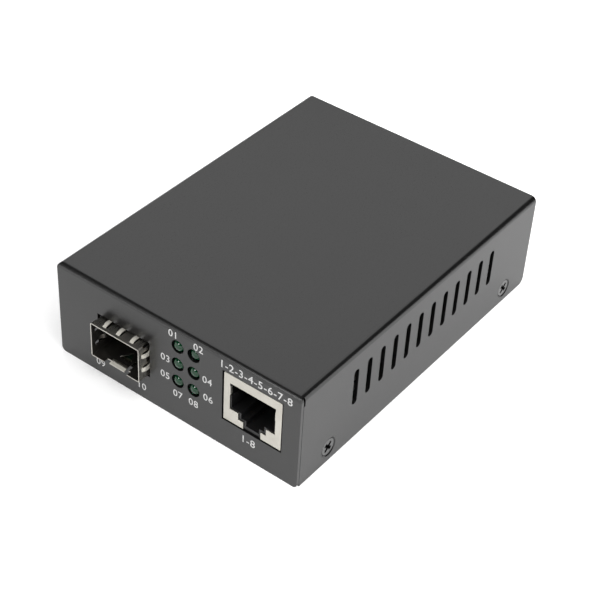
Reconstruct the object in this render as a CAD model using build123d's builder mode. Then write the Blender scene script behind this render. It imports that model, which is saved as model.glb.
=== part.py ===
"""A compact fibre media converter with a slot for a fibre transceiver, a network port and six status lamps.

A folded steel cover (roof, front panel and both sides in one sheet) closes over a folded base tray (floor,
rear panel and two low flanges). A circuit board on four standoffs carries the ports and the electronics.

Frame: millimetres, origin in the middle of the underside, +X to the right as seen from the front,
+Y from the front panel to the rear, +Z up.
"""

import os

from build123d import *

os.makedirs("parts", exist_ok=True)

# Enclosure
case_width = 70.0
case_depth = 94.0
case_height = 26.5
sheet = 0.8
bend_radius = 1.5
case_fit = 0.15
seam_gap = 0.12
relief_width = 0.55
relief_height = 2.2
relief_top_gap = 0.5
front_corner_round = 1.2
rear_corner_round = 1.8

# Side vents
vent_count = 12
vent_pitch = 5.0
vent_length = 10.2
vent_width = 1.8
vent_drop = 10.5
vent_shift = 0.5

# Countersunk screws that hold the cover to the tray
cover_screw_front_inset = 11.3
cover_screw_rear_inset = 9.95
cover_screw_z = 4.1
cover_screw_head_radius = 2.3
cover_screw_shank_radius = 1.45
cover_screw_length = 4.5
cover_screw_sink = 0.18
countersink_gap = 0.25
cross_arm_length = 2.6
cross_arm_width = 0.62
cross_depth = 0.9
screw_clearance = 0.05

# Base tray
flange_height = 8.0
thread_collar_radius = 2.4
thread_collar_length = 0.9
flange_corner_round = 2.0

# Circuit board and how it is carried
board_thickness = 1.6
standoff_radius = 2.9
standoff_bore_radius = 1.35
clinch_radius = 2.6
clinch_gap = 0.02
board_edge_gap = 1.45
board_notch_depth = 2.3
board_notch_length = 7.0
board_front_gap = 0.6
board_rear_gap = 0.7
board_screw_inset_x = 3.8
board_screw_inset_y = 4.6
board_corner_radius = 1.0
board_screw_head_radius = 2.6
board_screw_head_height = 1.7
board_screw_head_round = 1.0
board_screw_shank_radius = 1.25
board_screw_tip_gap = 0.9
board_hole_radius = 1.6

# Transceiver cage
cage_side_inset = 19.95
cage_width = 14.6
cage_height = 9.7
cage_length = 48.5
cage_sheet = 0.25
cage_proud = 3.0
cage_corner_radius = 0.45
cage_cutout_width = 15.7
cage_cutout_above = 0.55
cage_cutout_below = 0.1
finger_width = 1.0
finger_slit = 0.3
finger_thickness = 0.2
finger_rise = 0.5
finger_end = 1.6
top_finger_pitch = 4.05
top_finger_count = 3
top_finger_reach = 1.95
top_finger_shift = 0.25
side_finger_pitch = 3.95
side_finger_count = 2
side_finger_width = 1.15
side_finger_reach = 1.85
side_finger_z = 5.2
corner_slit_width = 0.4
corner_slit_reach = 1.5
cage_pin_width = 0.7
cage_pin_length = 2.3
cage_pin_row_count = 3
cage_pin_front_inset = 8.0
cage_pin_back_inset = 4.0
cage_pin_hole_radius = 0.55

# Latch tongue in the cage floor
tongue_width = 4.5
tongue_shift = 0.3
tongue_slit = 0.35
tongue_notch_width = 7.0
tongue_notch_depth = 1.3
tongue_length = 13.0
tongue_lift = 0.75
tongue_tip_inset = 0.2
ramp_length = 1.5
ramp_drop = 0.55
latch_base_inset = 3.1
latch_base_width = 3.4
latch_depth = 2.9

# Transceiver connector inside the cage
edge_connector_width = 11.4
edge_connector_depth = 8.6
edge_connector_height = 5.2
edge_connector_back_gap = 1.9
edge_connector_chamfer = 0.6
edge_slot_width = 9.6
edge_slot_height = 1.5
edge_slot_z = 2.9
edge_slot_depth = 6.0
edge_contact_count = 10
edge_contact_pitch = 0.8
edge_contact_width = 0.35
edge_contact_thickness = 0.25
edge_foot_gap = 0.05
edge_foot_reach = 1.0
edge_upper_start = 1.0
edge_lower_gap = 0.4
edge_groove_gap = 0.05

# Network jack
jack_side_inset = 12.9
jack_roof_gap = 3.7
jack_width = 15.9
jack_height = 13.7
jack_depth = 21.0
jack_lift = 0.7
jack_recess = 0.15
jack_panel_gap = 0.35
jack_sheet = 0.25
jack_fit = 0.05
jack_corner_radius = 0.3
jack_tab_width = 1.6
jack_tab_inset = 8.5
jack_tail_length = 2.4
jack_peg_radius = 0.75
jack_peg_shoulder = 1.3
jack_peg_x = 5.7
jack_peg_inset = 12.5
pin_hole_gap = 0.12
tail_below_board = 0.7
jack_mouth_width = 12.5
jack_mouth_height = 7.5
jack_mouth_base = 3.75
jack_step_width = 7.7
jack_step_base = 1.9
jack_slot_width = 4.8
plug_width = 11.9
plug_height = 6.9
plug_depth = 14.0
plug_base = 3.95
latch_step_width = 6.4
latch_step_base = 2.4
latch_slot_width = 3.6
latch_slot_base = 0.9
jack_spring_height = 2.4
jack_spring_z = 9.1
jack_spring_bulge = 0.55
jack_spring_length = 5.0
jack_spring_start = 0.1
jack_leaf_sheet = 0.2
wire_count = 8
wire_pitch = 1.02
wire_width = 0.45
wire_thickness = 0.3
wire_groove_gap = 0.1
wire_front = 2.6
wire_rise = 0.55
wire_run = 8.6
wire_drop = 2.9
wire_tail_inset = 17.0
wire_hole_radius = 0.45

# Status lamps
lamp_shift = 0.175
lamp_height = 8.8
lamp_pitch_x = 4.57
lamp_pitch_z = 5.08
lamp_columns = 2
lamp_rows = 3
lamp_hole_radius = 1.75
lamp_radius = 1.5
lamp_dome_radius = 1.35
lamp_proud = 0.35
lamp_length = 5.3
lamp_flange_radius = 1.85
lamp_flange_length = 0.8
lamp_holder_depth = 4.2
lamp_holder_margin = 0.35
lamp_holder_chamfer = 0.6
lead_width = 0.5
lead_spread = 2.54
lead_step = 1.3

# Power jack in the rear panel
power_side_inset = 16.5
power_width = 9.0
power_height = 11.0
power_depth = 14.2
power_panel_gap = 0.25
power_face_recess = 0.1
power_bore_radius = 3.15
power_bore_depth = 9.6
power_bore_chamfer = 0.3
power_bore_z = 6.4
power_pin_radius = 1.05
power_pin_length = 8.8
power_tab_width = 2.4
power_spring_tab_inset = 5.6
power_spring_width = 2.2
power_spring_thickness = 0.35
power_nose_depth = 3.4
power_corner_round = 0.5
power_window_length = 4.6
power_leaf_length = 3.6
power_leaf_rise = 0.6
power_leaf_inset = 0.2

# Slide switches in the rear panel
switch_inset_x = 30.0
switch_chamfer = 0.2
switch_count = 3
switch_pitch = 2.54
switch_end_margin = 1.35
switch_height = 6.4
switch_depth = 8.2
switch_recess = 0.9
switch_wall = 0.8
switch_base_thickness = 1.0
knob_width = 1.25
knob_height = 1.4
knob_proud = 0.75
knob_travel = 1.8
knob_chamfer = 0.15
knob_gap = 0.08
knob_end_gap = 0.15
carriage_width = 1.95
carriage_height = 2.6
carriage_depth = 1.4
switch_pin_width = 0.5
switch_pin_spread = 5.0
switch_window_margin = 0.3
switch_window_round = 0.5

# Parts on the board
converter_chip_size = 9.6
converter_chip_height = 1.1
converter_chip_inset = 27.0
converter_chip_chamfer = 0.15
chip_dot_radius = 0.5
chip_dot_depth = 0.1
chip_dot_inset = 1.4
magnetics_inset = 35.7
magnetics_chamfer = 0.5
magnetics_length = 15.6
magnetics_width = 9.4
magnetics_height = 5.4
magnetics_lift = 0.3
magnetics_lead_count = 8
magnetics_lead_pitch = 1.8
magnetics_lead_width = 0.6
magnetics_lead_sheet = 0.25
magnetics_lead_out = 1.0
crystal_inset = 17.2
crystal_length = 7.0
crystal_width = 5.0
crystal_height = 1.4
crystal_base_height = 0.5
crystal_rim = 0.35
crystal_corner_radius = 0.6
crystal_edge_round = 0.3
power_chip_inset = 51.0
power_chip_width = 6.6
power_chip_length = 6.2
power_chip_height = 2.3
power_chip_chamfer = 0.25
power_chip_pin_count = 5
power_chip_pin_pitch = 1.3
power_chip_pin_width = 0.6
power_chip_pin_length = 1.2
power_chip_tab_width = 5.3
power_chip_pin_height = 0.5
inductor_size = 11.0
inductor_height = 5.4
inductor_inset = 51.6
inductor_corner_radius = 1.2
inductor_flange = 1.0
inductor_rim_gap = 0.2
inductor_winding_gap = 0.6
inductor_core_radius = 4.2
large_capacitor_radius = 5.0
large_capacitor_height = 13.5
large_capacitor_inset_x = 21.0
large_capacitor_inset_y = 20.0
small_capacitor_radius = 3.15
small_capacitor_height = 9.0
small_capacitor_shift = 7.4
small_capacitor_inset_y = 23.0
small_capacitor_pitch = 8.0
can_groove = 0.35
can_groove_height = 1.9
can_lead_radius = 0.3
can_lead_spread = 0.5
rectifier_inset_x = 8.5
rectifier_inset_y = 22.0
rectifier_width = 8.0
rectifier_length = 6.4
rectifier_height = 2.5
rectifier_chamfer = 0.4
rectifier_pin_width = 1.2
rectifier_pin_length = 1.6
rectifier_pin_pitch = 5.0
rectifier_pin_height = 0.4
fuse_inset_x = 13.0
fuse_inset_y = 11.8
fuse_width = 3.0
fuse_length = 10.0
fuse_height = 2.6
fuse_cap_length = 1.4
fuse_cap_rise = 0.1
chip_part_height = 0.55
chip_part_width = 0.8
chip_part_length = 1.6
chip_part_pitch = 2.2
chip_part_row_pitch = 2.6
chip_part_columns = 4
chip_part_rows = 2
chip_part_gap = 1.2

# Heights and faces that the pieces share
right_x = case_width / 2
left_x = -case_width / 2
front_y = -case_depth / 2
rear_y = case_depth / 2
inner_front_y = front_y + sheet
tray_width = case_width - 2 * (sheet + case_fit)
tray_front_y = inner_front_y + case_fit
tray_depth = rear_y - tray_front_y
tray_mid_y = (rear_y + tray_front_y) / 2
tray_height = case_height - sheet - case_fit
rear_inner_y = rear_y - sheet
board_top_z = case_height - sheet - jack_roof_gap - jack_height - jack_lift
board_bottom_z = board_top_z - board_thickness
standoff_height = board_bottom_z - sheet
board_screw_length = board_thickness + standoff_height - board_screw_tip_gap
board_width = tray_width - 2 * (sheet + board_edge_gap)
board_front_y = tray_front_y + board_front_gap
board_rear_y = rear_inner_y - board_rear_gap
board_depth = board_rear_y - board_front_y
board_mid_y = (board_front_y + board_rear_y) / 2
board_screw_x = board_width / 2 - board_screw_inset_x
board_bottom_tail_z = board_bottom_z - tail_below_board
vent_z = case_height - vent_drop
relief_z = case_height - relief_top_gap - relief_height / 2
cover_screw_rows = (front_y + cover_screw_front_inset, rear_y - cover_screw_rear_inset)
cover_screw_spots = [(side, y) for side in (-1, 1) for y in cover_screw_rows]
board_notch_spots = [(side * (board_width - board_notch_depth) / 2, y) for side, y in cover_screw_spots]
cage_x = left_x + cage_side_inset
jack_x = right_x - jack_side_inset
middle_x = (cage_x + cage_width / 2 + jack_x - jack_width / 2) / 2
lamp_x = middle_x + lamp_shift
lamp_z = board_top_z + lamp_height
power_x = right_x - power_side_inset
switch_x = left_x + switch_inset_x
cage_mouth_y = front_y - cage_proud
cage_floor_top = board_top_z + cage_sheet
cage_top_z = board_top_z + cage_height
cage_mid_z = board_top_z + cage_height / 2
jack_base_z = board_top_z + jack_lift
jack_front_y = front_y + jack_recess
jack_back_y = jack_front_y + jack_depth
lamp_tip_y = front_y - lamp_proud
lamp_back_y = lamp_tip_y + lamp_length
lamp_holder_back_y = lamp_back_y + lamp_holder_depth

power_front_y = rear_y - power_face_recess
power_back_y = power_front_y - power_depth
power_back_tab_y = power_back_y - power_spring_thickness / 2
power_spring_tab_y = power_front_y - power_spring_tab_inset
power_hole_width = power_tab_width + 2 * pin_hole_gap
power_hole_length = power_spring_thickness + 2 * pin_hole_gap
switch_pin_hole = switch_pin_width + 2 * pin_hole_gap
power_leaf_z = board_top_z + power_bore_z - power_bore_radius + power_leaf_inset
power_leaf_crest_z = power_leaf_z + power_leaf_rise
switch_width = (switch_count - 1) * switch_pitch + knob_width + 2 * switch_end_margin
switch_mid_z = board_top_z + switch_height / 2
switch_face_y = rear_y - switch_recess
switch_window_width = switch_width - 2 * switch_window_margin
switch_window_height = switch_height - 2 * switch_window_margin
switch_inner_y = switch_face_y - switch_depth
switch_rail_length = switch_depth - switch_wall - carriage_depth - switch_base_thickness - 2 * knob_gap
knob_rest_z = switch_mid_z - knob_travel / 2

front_plane = Plane.XZ.offset(-front_y)
rear_plane = Plane.XZ.offset(-rear_y)
board_plane = Plane.XY.offset(board_top_z)

lamp_spots = [
    (
        lamp_x + (column - (lamp_columns - 1) / 2) * lamp_pitch_x,
        lamp_z + ((lamp_rows - 1) / 2 - row) * lamp_pitch_z,
    )
    for column in range(lamp_columns)
    for row in range(lamp_rows)
]
board_screw_spots = [
    (-board_screw_x, board_front_y + board_screw_inset_y),
    (board_screw_x, jack_back_y + board_screw_inset_y),
    (-board_screw_x, board_rear_y - board_screw_inset_y),
    (board_screw_x, board_rear_y - board_screw_inset_y),
]
cage_pin_x = cage_width / 2 - 3 * cage_sheet
edge_front_y = cage_mouth_y + cage_length - edge_connector_back_gap - edge_connector_depth
cage_pin_front_y = cage_mouth_y + cage_pin_front_inset
cage_pin_pitch = (edge_front_y - cage_pin_back_inset - cage_pin_front_y) / (cage_pin_row_count - 1)
cage_pin_spots = [
    (cage_x + side * cage_pin_x, cage_pin_front_y + row * cage_pin_pitch)
    for side in (-1, 1)
    for row in range(cage_pin_row_count)
]
top_finger_first_x = cage_x + top_finger_shift - (top_finger_count - 1) / 2 * top_finger_pitch
top_finger_spots = [top_finger_first_x + number * top_finger_pitch for number in range(top_finger_count)]
side_finger_spots = [
    board_top_z + side_finger_z + (number - (side_finger_count - 1) / 2) * side_finger_pitch
    for number in range(side_finger_count)
]
top_finger_start = front_y - top_finger_reach
side_finger_start = front_y - side_finger_reach
corner_slit_start = cage_mouth_y + corner_slit_reach
finger_stop = front_y + finger_end
finger_crest_y = (front_y + top_finger_start) / 2 + sheet
side_crest_y = (front_y + side_finger_start) / 2 + sheet
finger_inner_y = finger_stop - finger_slit - finger_thickness
finger_inner_z = cage_top_z - cage_sheet - finger_thickness / 2
tongue_x = cage_x + tongue_shift
tongue_root_y = cage_mouth_y + tongue_length
tongue_tip_y = cage_mouth_y + tongue_tip_inset
tongue_ramp_y = tongue_tip_y + ramp_length
edge_rear_y = edge_front_y + edge_connector_depth
cage_back_y = cage_mouth_y + cage_length
cage_floor_cut_y = edge_front_y - 2 * edge_foot_reach
edge_groove_width = edge_contact_width + 2 * edge_groove_gap
edge_groove_depth = edge_contact_thickness + edge_groove_gap
edge_upper_z = board_top_z + edge_slot_z + edge_slot_height / 2 + edge_contact_thickness
edge_foot_z = board_top_z + edge_contact_thickness
edge_front_leg_y = edge_front_y - edge_foot_gap
edge_rear_leg_y = edge_rear_y + edge_foot_gap
edge_lower_stop_y = edge_front_y + edge_slot_depth - edge_lower_gap
edge_lower_z = board_top_z + edge_slot_z - edge_slot_height / 2
edge_contact_first_x = cage_x - (edge_contact_count - 1) / 2 * edge_contact_pitch
edge_contact_spots = [edge_contact_first_x + row * edge_contact_pitch for row in range(edge_contact_count)]
jack_peg_spots = [(jack_x + side * jack_peg_x, jack_front_y + jack_peg_inset) for side in (-1, 1)]
jack_tab_x = (jack_width - jack_sheet) / 2
jack_tab_spots = [(jack_x + side * jack_tab_x, jack_front_y + jack_tab_inset) for side in (-1, 1)]
jack_body_front_y = jack_front_y + jack_sheet + jack_fit
jack_body_width = jack_width - 2 * (jack_sheet + jack_fit)
jack_body_height = jack_height - jack_sheet - jack_fit
jack_body_depth = jack_depth - 2 * (jack_sheet + jack_fit)
wire_top_z = jack_base_z + plug_base + plug_height + wire_rise
wire_front_y = jack_front_y + wire_front
wire_tail_y = jack_front_y + wire_tail_inset
wire_groove_width = wire_width + 2 * wire_groove_gap
lead_spots = [
    lamp_x + (column - (lamp_columns - 1) / 2) * lamp_pitch_x + side * lead_spread / 2
    for column in range(lamp_columns)
    for side in (-1, 1)
]
lead_hole = lead_width + 2 * pin_hole_gap
lamp_heights = [lamp_z + (row - (lamp_rows - 1) / 2) * lamp_pitch_z for row in range(lamp_rows)]
lead_row_y = [lamp_holder_back_y + lead_width + row * lead_step for row in range(lamp_rows)]
lamp_holder_width = (lamp_columns - 1) * lamp_pitch_x + 2 * (lamp_flange_radius + lamp_holder_margin)
lamp_holder_top_z = lamp_heights[-1] + lamp_flange_radius + lamp_holder_margin
switch_spots = [switch_x + (number - (switch_count - 1) / 2) * switch_pitch for number in range(switch_count)]
switch_pin_first_y = switch_face_y - (switch_depth + switch_pin_spread) / 2
switch_pin_rows = (switch_pin_first_y, switch_pin_first_y + switch_pin_spread)
switch_pin_spots = [(x, y) for x in switch_spots for y in switch_pin_rows]
magnetics_x = jack_x
magnetics_y = front_y + magnetics_inset
crystal_y = front_y + crystal_inset
crystal_lid_length = crystal_length - 2 * crystal_rim
crystal_lid_width = crystal_width - 2 * crystal_rim
chip_dot_offset = converter_chip_size / 2 - chip_dot_inset
converter_chip_y = front_y + converter_chip_inset
power_chip_y = front_y + power_chip_inset
inductor_x = jack_x
inductor_y = front_y + inductor_inset
rectifier_x = left_x + rectifier_inset_x
rectifier_y = rear_y - rectifier_inset_y
fuse_x = left_x + fuse_inset_x
fuse_y = rear_y - fuse_inset_y
power_chip_back_y = power_chip_y + power_chip_length / 2 + power_chip_pin_length
chip_part_group_y = [
    back_y + chip_part_gap + chip_part_row_pitch * (chip_part_rows - 1) / 2 + chip_part_length / 2
    for back_y in (converter_chip_y + converter_chip_size / 2, power_chip_back_y)
]
magnetics_lead_spots = [
    magnetics_x + (number - (magnetics_lead_count - 1) / 2) * magnetics_lead_pitch
    for number in range(magnetics_lead_count)
]
magnetics_lead_z = board_top_z + magnetics_lift + magnetics_height / 3
large_capacitor_x = left_x + large_capacitor_inset_x
large_capacitor_y = rear_y - large_capacitor_inset_y
small_capacitor_x = lamp_x + small_capacitor_shift
small_capacitor_y = rear_y - small_capacitor_inset_y
small_capacitor_front_y = small_capacitor_y - small_capacitor_pitch
can_spots = [
    (large_capacitor_x, large_capacitor_y, large_capacitor_radius, large_capacitor_height),
    (small_capacitor_x, small_capacitor_y, small_capacitor_radius, small_capacitor_height),
    (small_capacitor_x, small_capacitor_front_y, small_capacitor_radius, small_capacitor_height),
]
can_lead_spots = [
    (x + side * can_lead_spread * radius, y) for x, y, radius, height in can_spots for side in (-1, 1)
]
wire_spots = [jack_x + (number - (wire_count - 1) / 2) * wire_pitch for number in range(wire_count)]


# Folded cover: roof, front panel and two sides in one sheet
with BuildPart() as top_cover:
    with BuildSketch():
        Rectangle(case_width, case_depth)
    extrude(amount=case_height)
    roof_edges = top_cover.faces().sort_by(Axis.Z)[-1].edges().sort_by(Axis.Y)
    fillet(roof_edges[:-1], radius=bend_radius)
    underside = top_cover.faces().sort_by(Axis.Z)[0]
    rear_end = top_cover.faces().sort_by(Axis.Y)[-1]
    offset(amount=-sheet, openings=[underside, rear_end])
    # Openings in the front panel
    with BuildSketch(front_plane):
        with Locations((cage_x, board_top_z + (cage_height + cage_cutout_above - cage_cutout_below) / 2)):
            Rectangle(cage_cutout_width, cage_height + cage_cutout_above + cage_cutout_below)
        with Locations((jack_x, jack_base_z + jack_height / 2)):
            Rectangle(jack_width + 2 * jack_panel_gap, jack_height + 2 * jack_panel_gap)
        with Locations(*lamp_spots):
            Circle(lamp_hole_radius)
    extrude(amount=-2 * sheet, mode=Mode.SUBTRACT)
    # Vent slots in both sides
    with BuildSketch(Plane.YZ):
        with Locations((vent_shift, vent_z)):
            with GridLocations(vent_pitch, vent_pitch, vent_count, 1):
                SlotOverall(vent_length, vent_width, rotation=90)
    extrude(amount=case_width, both=True, mode=Mode.SUBTRACT)
    # Open seams and bend reliefs where the sides meet the front panel
    for side in (-1, 1):
        with BuildSketch(Plane.YZ.offset(side * right_x)):
            with Locations((inner_front_y + seam_gap / 2, (case_height - bend_radius) / 2)):
                Rectangle(seam_gap, case_height - bend_radius)
            with Locations((inner_front_y + relief_width / 2, relief_z)):
                Rectangle(relief_width, relief_height)
        extrude(amount=-side * bend_radius, mode=Mode.SUBTRACT)
    # Countersinks for the cover screws
    for side, y in cover_screw_spots:
        screw_origin = (side * case_width / 2, y, cover_screw_z)
        with Locations(Plane(origin=screw_origin, x_dir=(0, 1, 0), z_dir=(side, 0, 0))):
            CounterSinkHole(
                radius=cover_screw_shank_radius + screw_clearance,
                counter_sink_radius=cover_screw_head_radius + countersink_gap,
                depth=2 * sheet,
                counter_sink_angle=90,
            )
    # Rounded corners of the flanges and softened front edges
    lowest_along_depth = top_cover.edges().filter_by(Axis.Y).group_by(Axis.Z)[0]
    fillet(lowest_along_depth.group_by(Axis.Y)[0], radius=front_corner_round)
    lowest_along_width = top_cover.edges().filter_by(Axis.X).group_by(Axis.Z)[0]
    fillet(lowest_along_width.group_by(Axis.Y)[-1], radius=rear_corner_round)
top_cover.part.label = "top_cover"
export_step(top_cover.part, "parts/top_cover.step")

# Folded base tray: floor, rear panel and two low side flanges
with BuildPart() as base_tray:
    with BuildSketch():
        with Locations((0, tray_mid_y)):
            Rectangle(tray_width, tray_depth)
    extrude(amount=tray_height)
    floor_edges = base_tray.faces().sort_by(Axis.Z)[0].edges().sort_by(Axis.Y)
    fillet(floor_edges[1:], radius=bend_radius)
    tray_ceiling = base_tray.faces().sort_by(Axis.Z)[-1]
    tray_front = base_tray.faces().sort_by(Axis.Y)[0]
    offset(amount=-sheet, openings=[tray_ceiling, tray_front])
    # Lower the sides to flanges and open the seams beside the rear panel
    with BuildSketch(Plane.YZ):
        with Locations(((tray_front_y + rear_inner_y) / 2, (flange_height + tray_height) / 2)):
            Rectangle(rear_inner_y - tray_front_y, tray_height - flange_height)
        with Locations((rear_inner_y - seam_gap / 2, (bend_radius + flange_height) / 2)):
            Rectangle(seam_gap, flange_height - bend_radius)
    extrude(amount=case_width, both=True, mode=Mode.SUBTRACT)
    flange_corners = base_tray.edges().filter_by(Axis.X).group_by(Axis.Y)[0].group_by(Axis.Z)[-1]
    fillet(flange_corners, radius=flange_corner_round)
    panel_corners = base_tray.edges().filter_by(Axis.Y).group_by(Axis.Z)[-1]
    fillet(panel_corners, radius=bend_radius)
    # Threaded collars for the cover screws
    for side in (-1, 1):
        with BuildSketch(Plane.YZ.offset(side * (tray_width / 2 - sheet))):
            with Locations(*[(y, cover_screw_z) for y in cover_screw_rows]):
                Circle(thread_collar_radius)
        extrude(amount=-side * thread_collar_length)
    for side, y in cover_screw_spots:
        screw_origin = (side * case_width / 2, y, cover_screw_z)
        with Locations(Plane(origin=screw_origin, x_dir=(0, 1, 0), z_dir=(side, 0, 0))):
            CounterSinkHole(
                radius=cover_screw_shank_radius + screw_clearance,
                counter_sink_radius=cover_screw_head_radius + countersink_gap,
                depth=cover_screw_length,
                counter_sink_angle=90,
            )
    # Hexagonal seats for the clinched standoffs
    with BuildSketch():
        with Locations(*board_screw_spots):
            RegularPolygon(radius=clinch_radius + clinch_gap, side_count=6)
    extrude(amount=sheet, mode=Mode.SUBTRACT)
    # Openings in the rear panel
    with BuildSketch(rear_plane):
        with Locations((power_x, board_top_z + power_height / 2)):
            Rectangle(power_width + 2 * power_panel_gap, power_height + 2 * power_panel_gap)
        with Locations((switch_x, switch_mid_z)):
            RectangleRounded(switch_window_width, switch_window_height, switch_window_round)
    extrude(amount=2 * sheet, both=True, mode=Mode.SUBTRACT)
base_tray.part.label = "base_tray"
export_step(base_tray.part, "parts/base_tray.step")

# Four countersunk screws with a cross recess
with BuildPart() as cover_screws:
    for side, y in cover_screw_spots:
        head_origin = (side * (case_width / 2 - cover_screw_sink), y, cover_screw_z)
        head_face = Plane(origin=head_origin, x_dir=(0, 1, 0), z_dir=(side, 0, 0))
        head_cone = cover_screw_head_radius - cover_screw_shank_radius
        with BuildSketch(head_face):
            Circle(cover_screw_head_radius)
        extrude(amount=-head_cone, taper=45)
        with BuildSketch(head_face.offset(-head_cone)):
            Circle(cover_screw_shank_radius)
        extrude(amount=-(cover_screw_length - head_cone))
        with BuildSketch(head_face):
            Rectangle(cross_arm_length, cross_arm_width, rotation=45)
            Rectangle(cross_arm_length, cross_arm_width, rotation=-45)
        extrude(amount=-cross_depth, taper=8, mode=Mode.SUBTRACT)
cover_screws.part.label = "cover_screws"
export_step(cover_screws.part, "parts/cover_screws.step")

# Four standoffs, their hexagonal feet clinched in the floor
with BuildPart() as standoffs:
    with BuildSketch():
        with Locations(*board_screw_spots):
            RegularPolygon(radius=clinch_radius, side_count=6)
    extrude(amount=sheet)
    with BuildSketch(Plane.XY.offset(sheet)):
        with Locations(*board_screw_spots):
            Circle(standoff_radius)
    extrude(amount=standoff_height)
    with BuildSketch(Plane.XY.offset(board_bottom_z)):
        with Locations(*board_screw_spots):
            Circle(standoff_bore_radius)
    extrude(amount=-standoff_height, mode=Mode.SUBTRACT)
standoffs.part.label = "standoffs"
export_step(standoffs.part, "parts/standoffs.step")

# Four pan head screws that clamp the board to the standoffs
with BuildPart() as board_screws:
    with BuildSketch(board_plane):
        with Locations(*board_screw_spots):
            Circle(board_screw_head_radius)
    extrude(amount=board_screw_head_height)
    fillet(board_screws.edges().group_by(Axis.Z)[-1], radius=board_screw_head_round)
    with BuildSketch(board_plane):
        with Locations(*board_screw_spots):
            Circle(board_screw_shank_radius)
    extrude(amount=-board_screw_length)
    with BuildSketch(board_plane.offset(board_screw_head_height)):
        with Locations(*board_screw_spots):
            Rectangle(cross_arm_length, cross_arm_width, rotation=45)
            Rectangle(cross_arm_length, cross_arm_width, rotation=-45)
    extrude(amount=-cross_depth, mode=Mode.SUBTRACT)
board_screws.part.label = "board_screws"
export_step(board_screws.part, "parts/board_screws.step")

# Circuit board with every hole that a lead or a screw passes
with BuildPart() as circuit_board:
    with BuildSketch(board_plane):
        with Locations((0, board_mid_y)):
            RectangleRounded(board_width, board_depth, board_corner_radius)
        with Locations(*board_screw_spots):
            Circle(board_hole_radius, mode=Mode.SUBTRACT)
        with Locations(*cage_pin_spots):
            Circle(cage_pin_hole_radius, mode=Mode.SUBTRACT)
        with Locations(*[(x, wire_tail_y) for x in wire_spots]):
            Circle(wire_hole_radius, mode=Mode.SUBTRACT)
        with Locations(*jack_peg_spots):
            Circle(jack_peg_radius + pin_hole_gap, mode=Mode.SUBTRACT)
        with Locations(*jack_tab_spots):
            Rectangle(jack_sheet + 2 * pin_hole_gap, jack_tab_width + 2 * pin_hole_gap, mode=Mode.SUBTRACT)
        with Locations(*[(x, y) for x in lead_spots for y in lead_row_y]):
            Rectangle(lead_hole, lead_hole, mode=Mode.SUBTRACT)
        with Locations((power_x, power_back_tab_y), (power_x, power_spring_tab_y)):
            Rectangle(power_hole_width, power_hole_length, mode=Mode.SUBTRACT)
        with Locations(*switch_pin_spots):
            Rectangle(switch_pin_hole, switch_pin_hole, mode=Mode.SUBTRACT)
        with Locations(*can_lead_spots):
            Circle(can_lead_radius + pin_hole_gap, mode=Mode.SUBTRACT)
    extrude(amount=-board_thickness)
    # Notches that leave room for the cover screws
    with BuildSketch(board_plane):
        with Locations(*board_notch_spots):
            Rectangle(board_notch_depth, board_notch_length)
    extrude(amount=-board_thickness, mode=Mode.SUBTRACT)
circuit_board.part.label = "circuit_board"
export_step(circuit_board.part, "parts/circuit_board.step")

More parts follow.
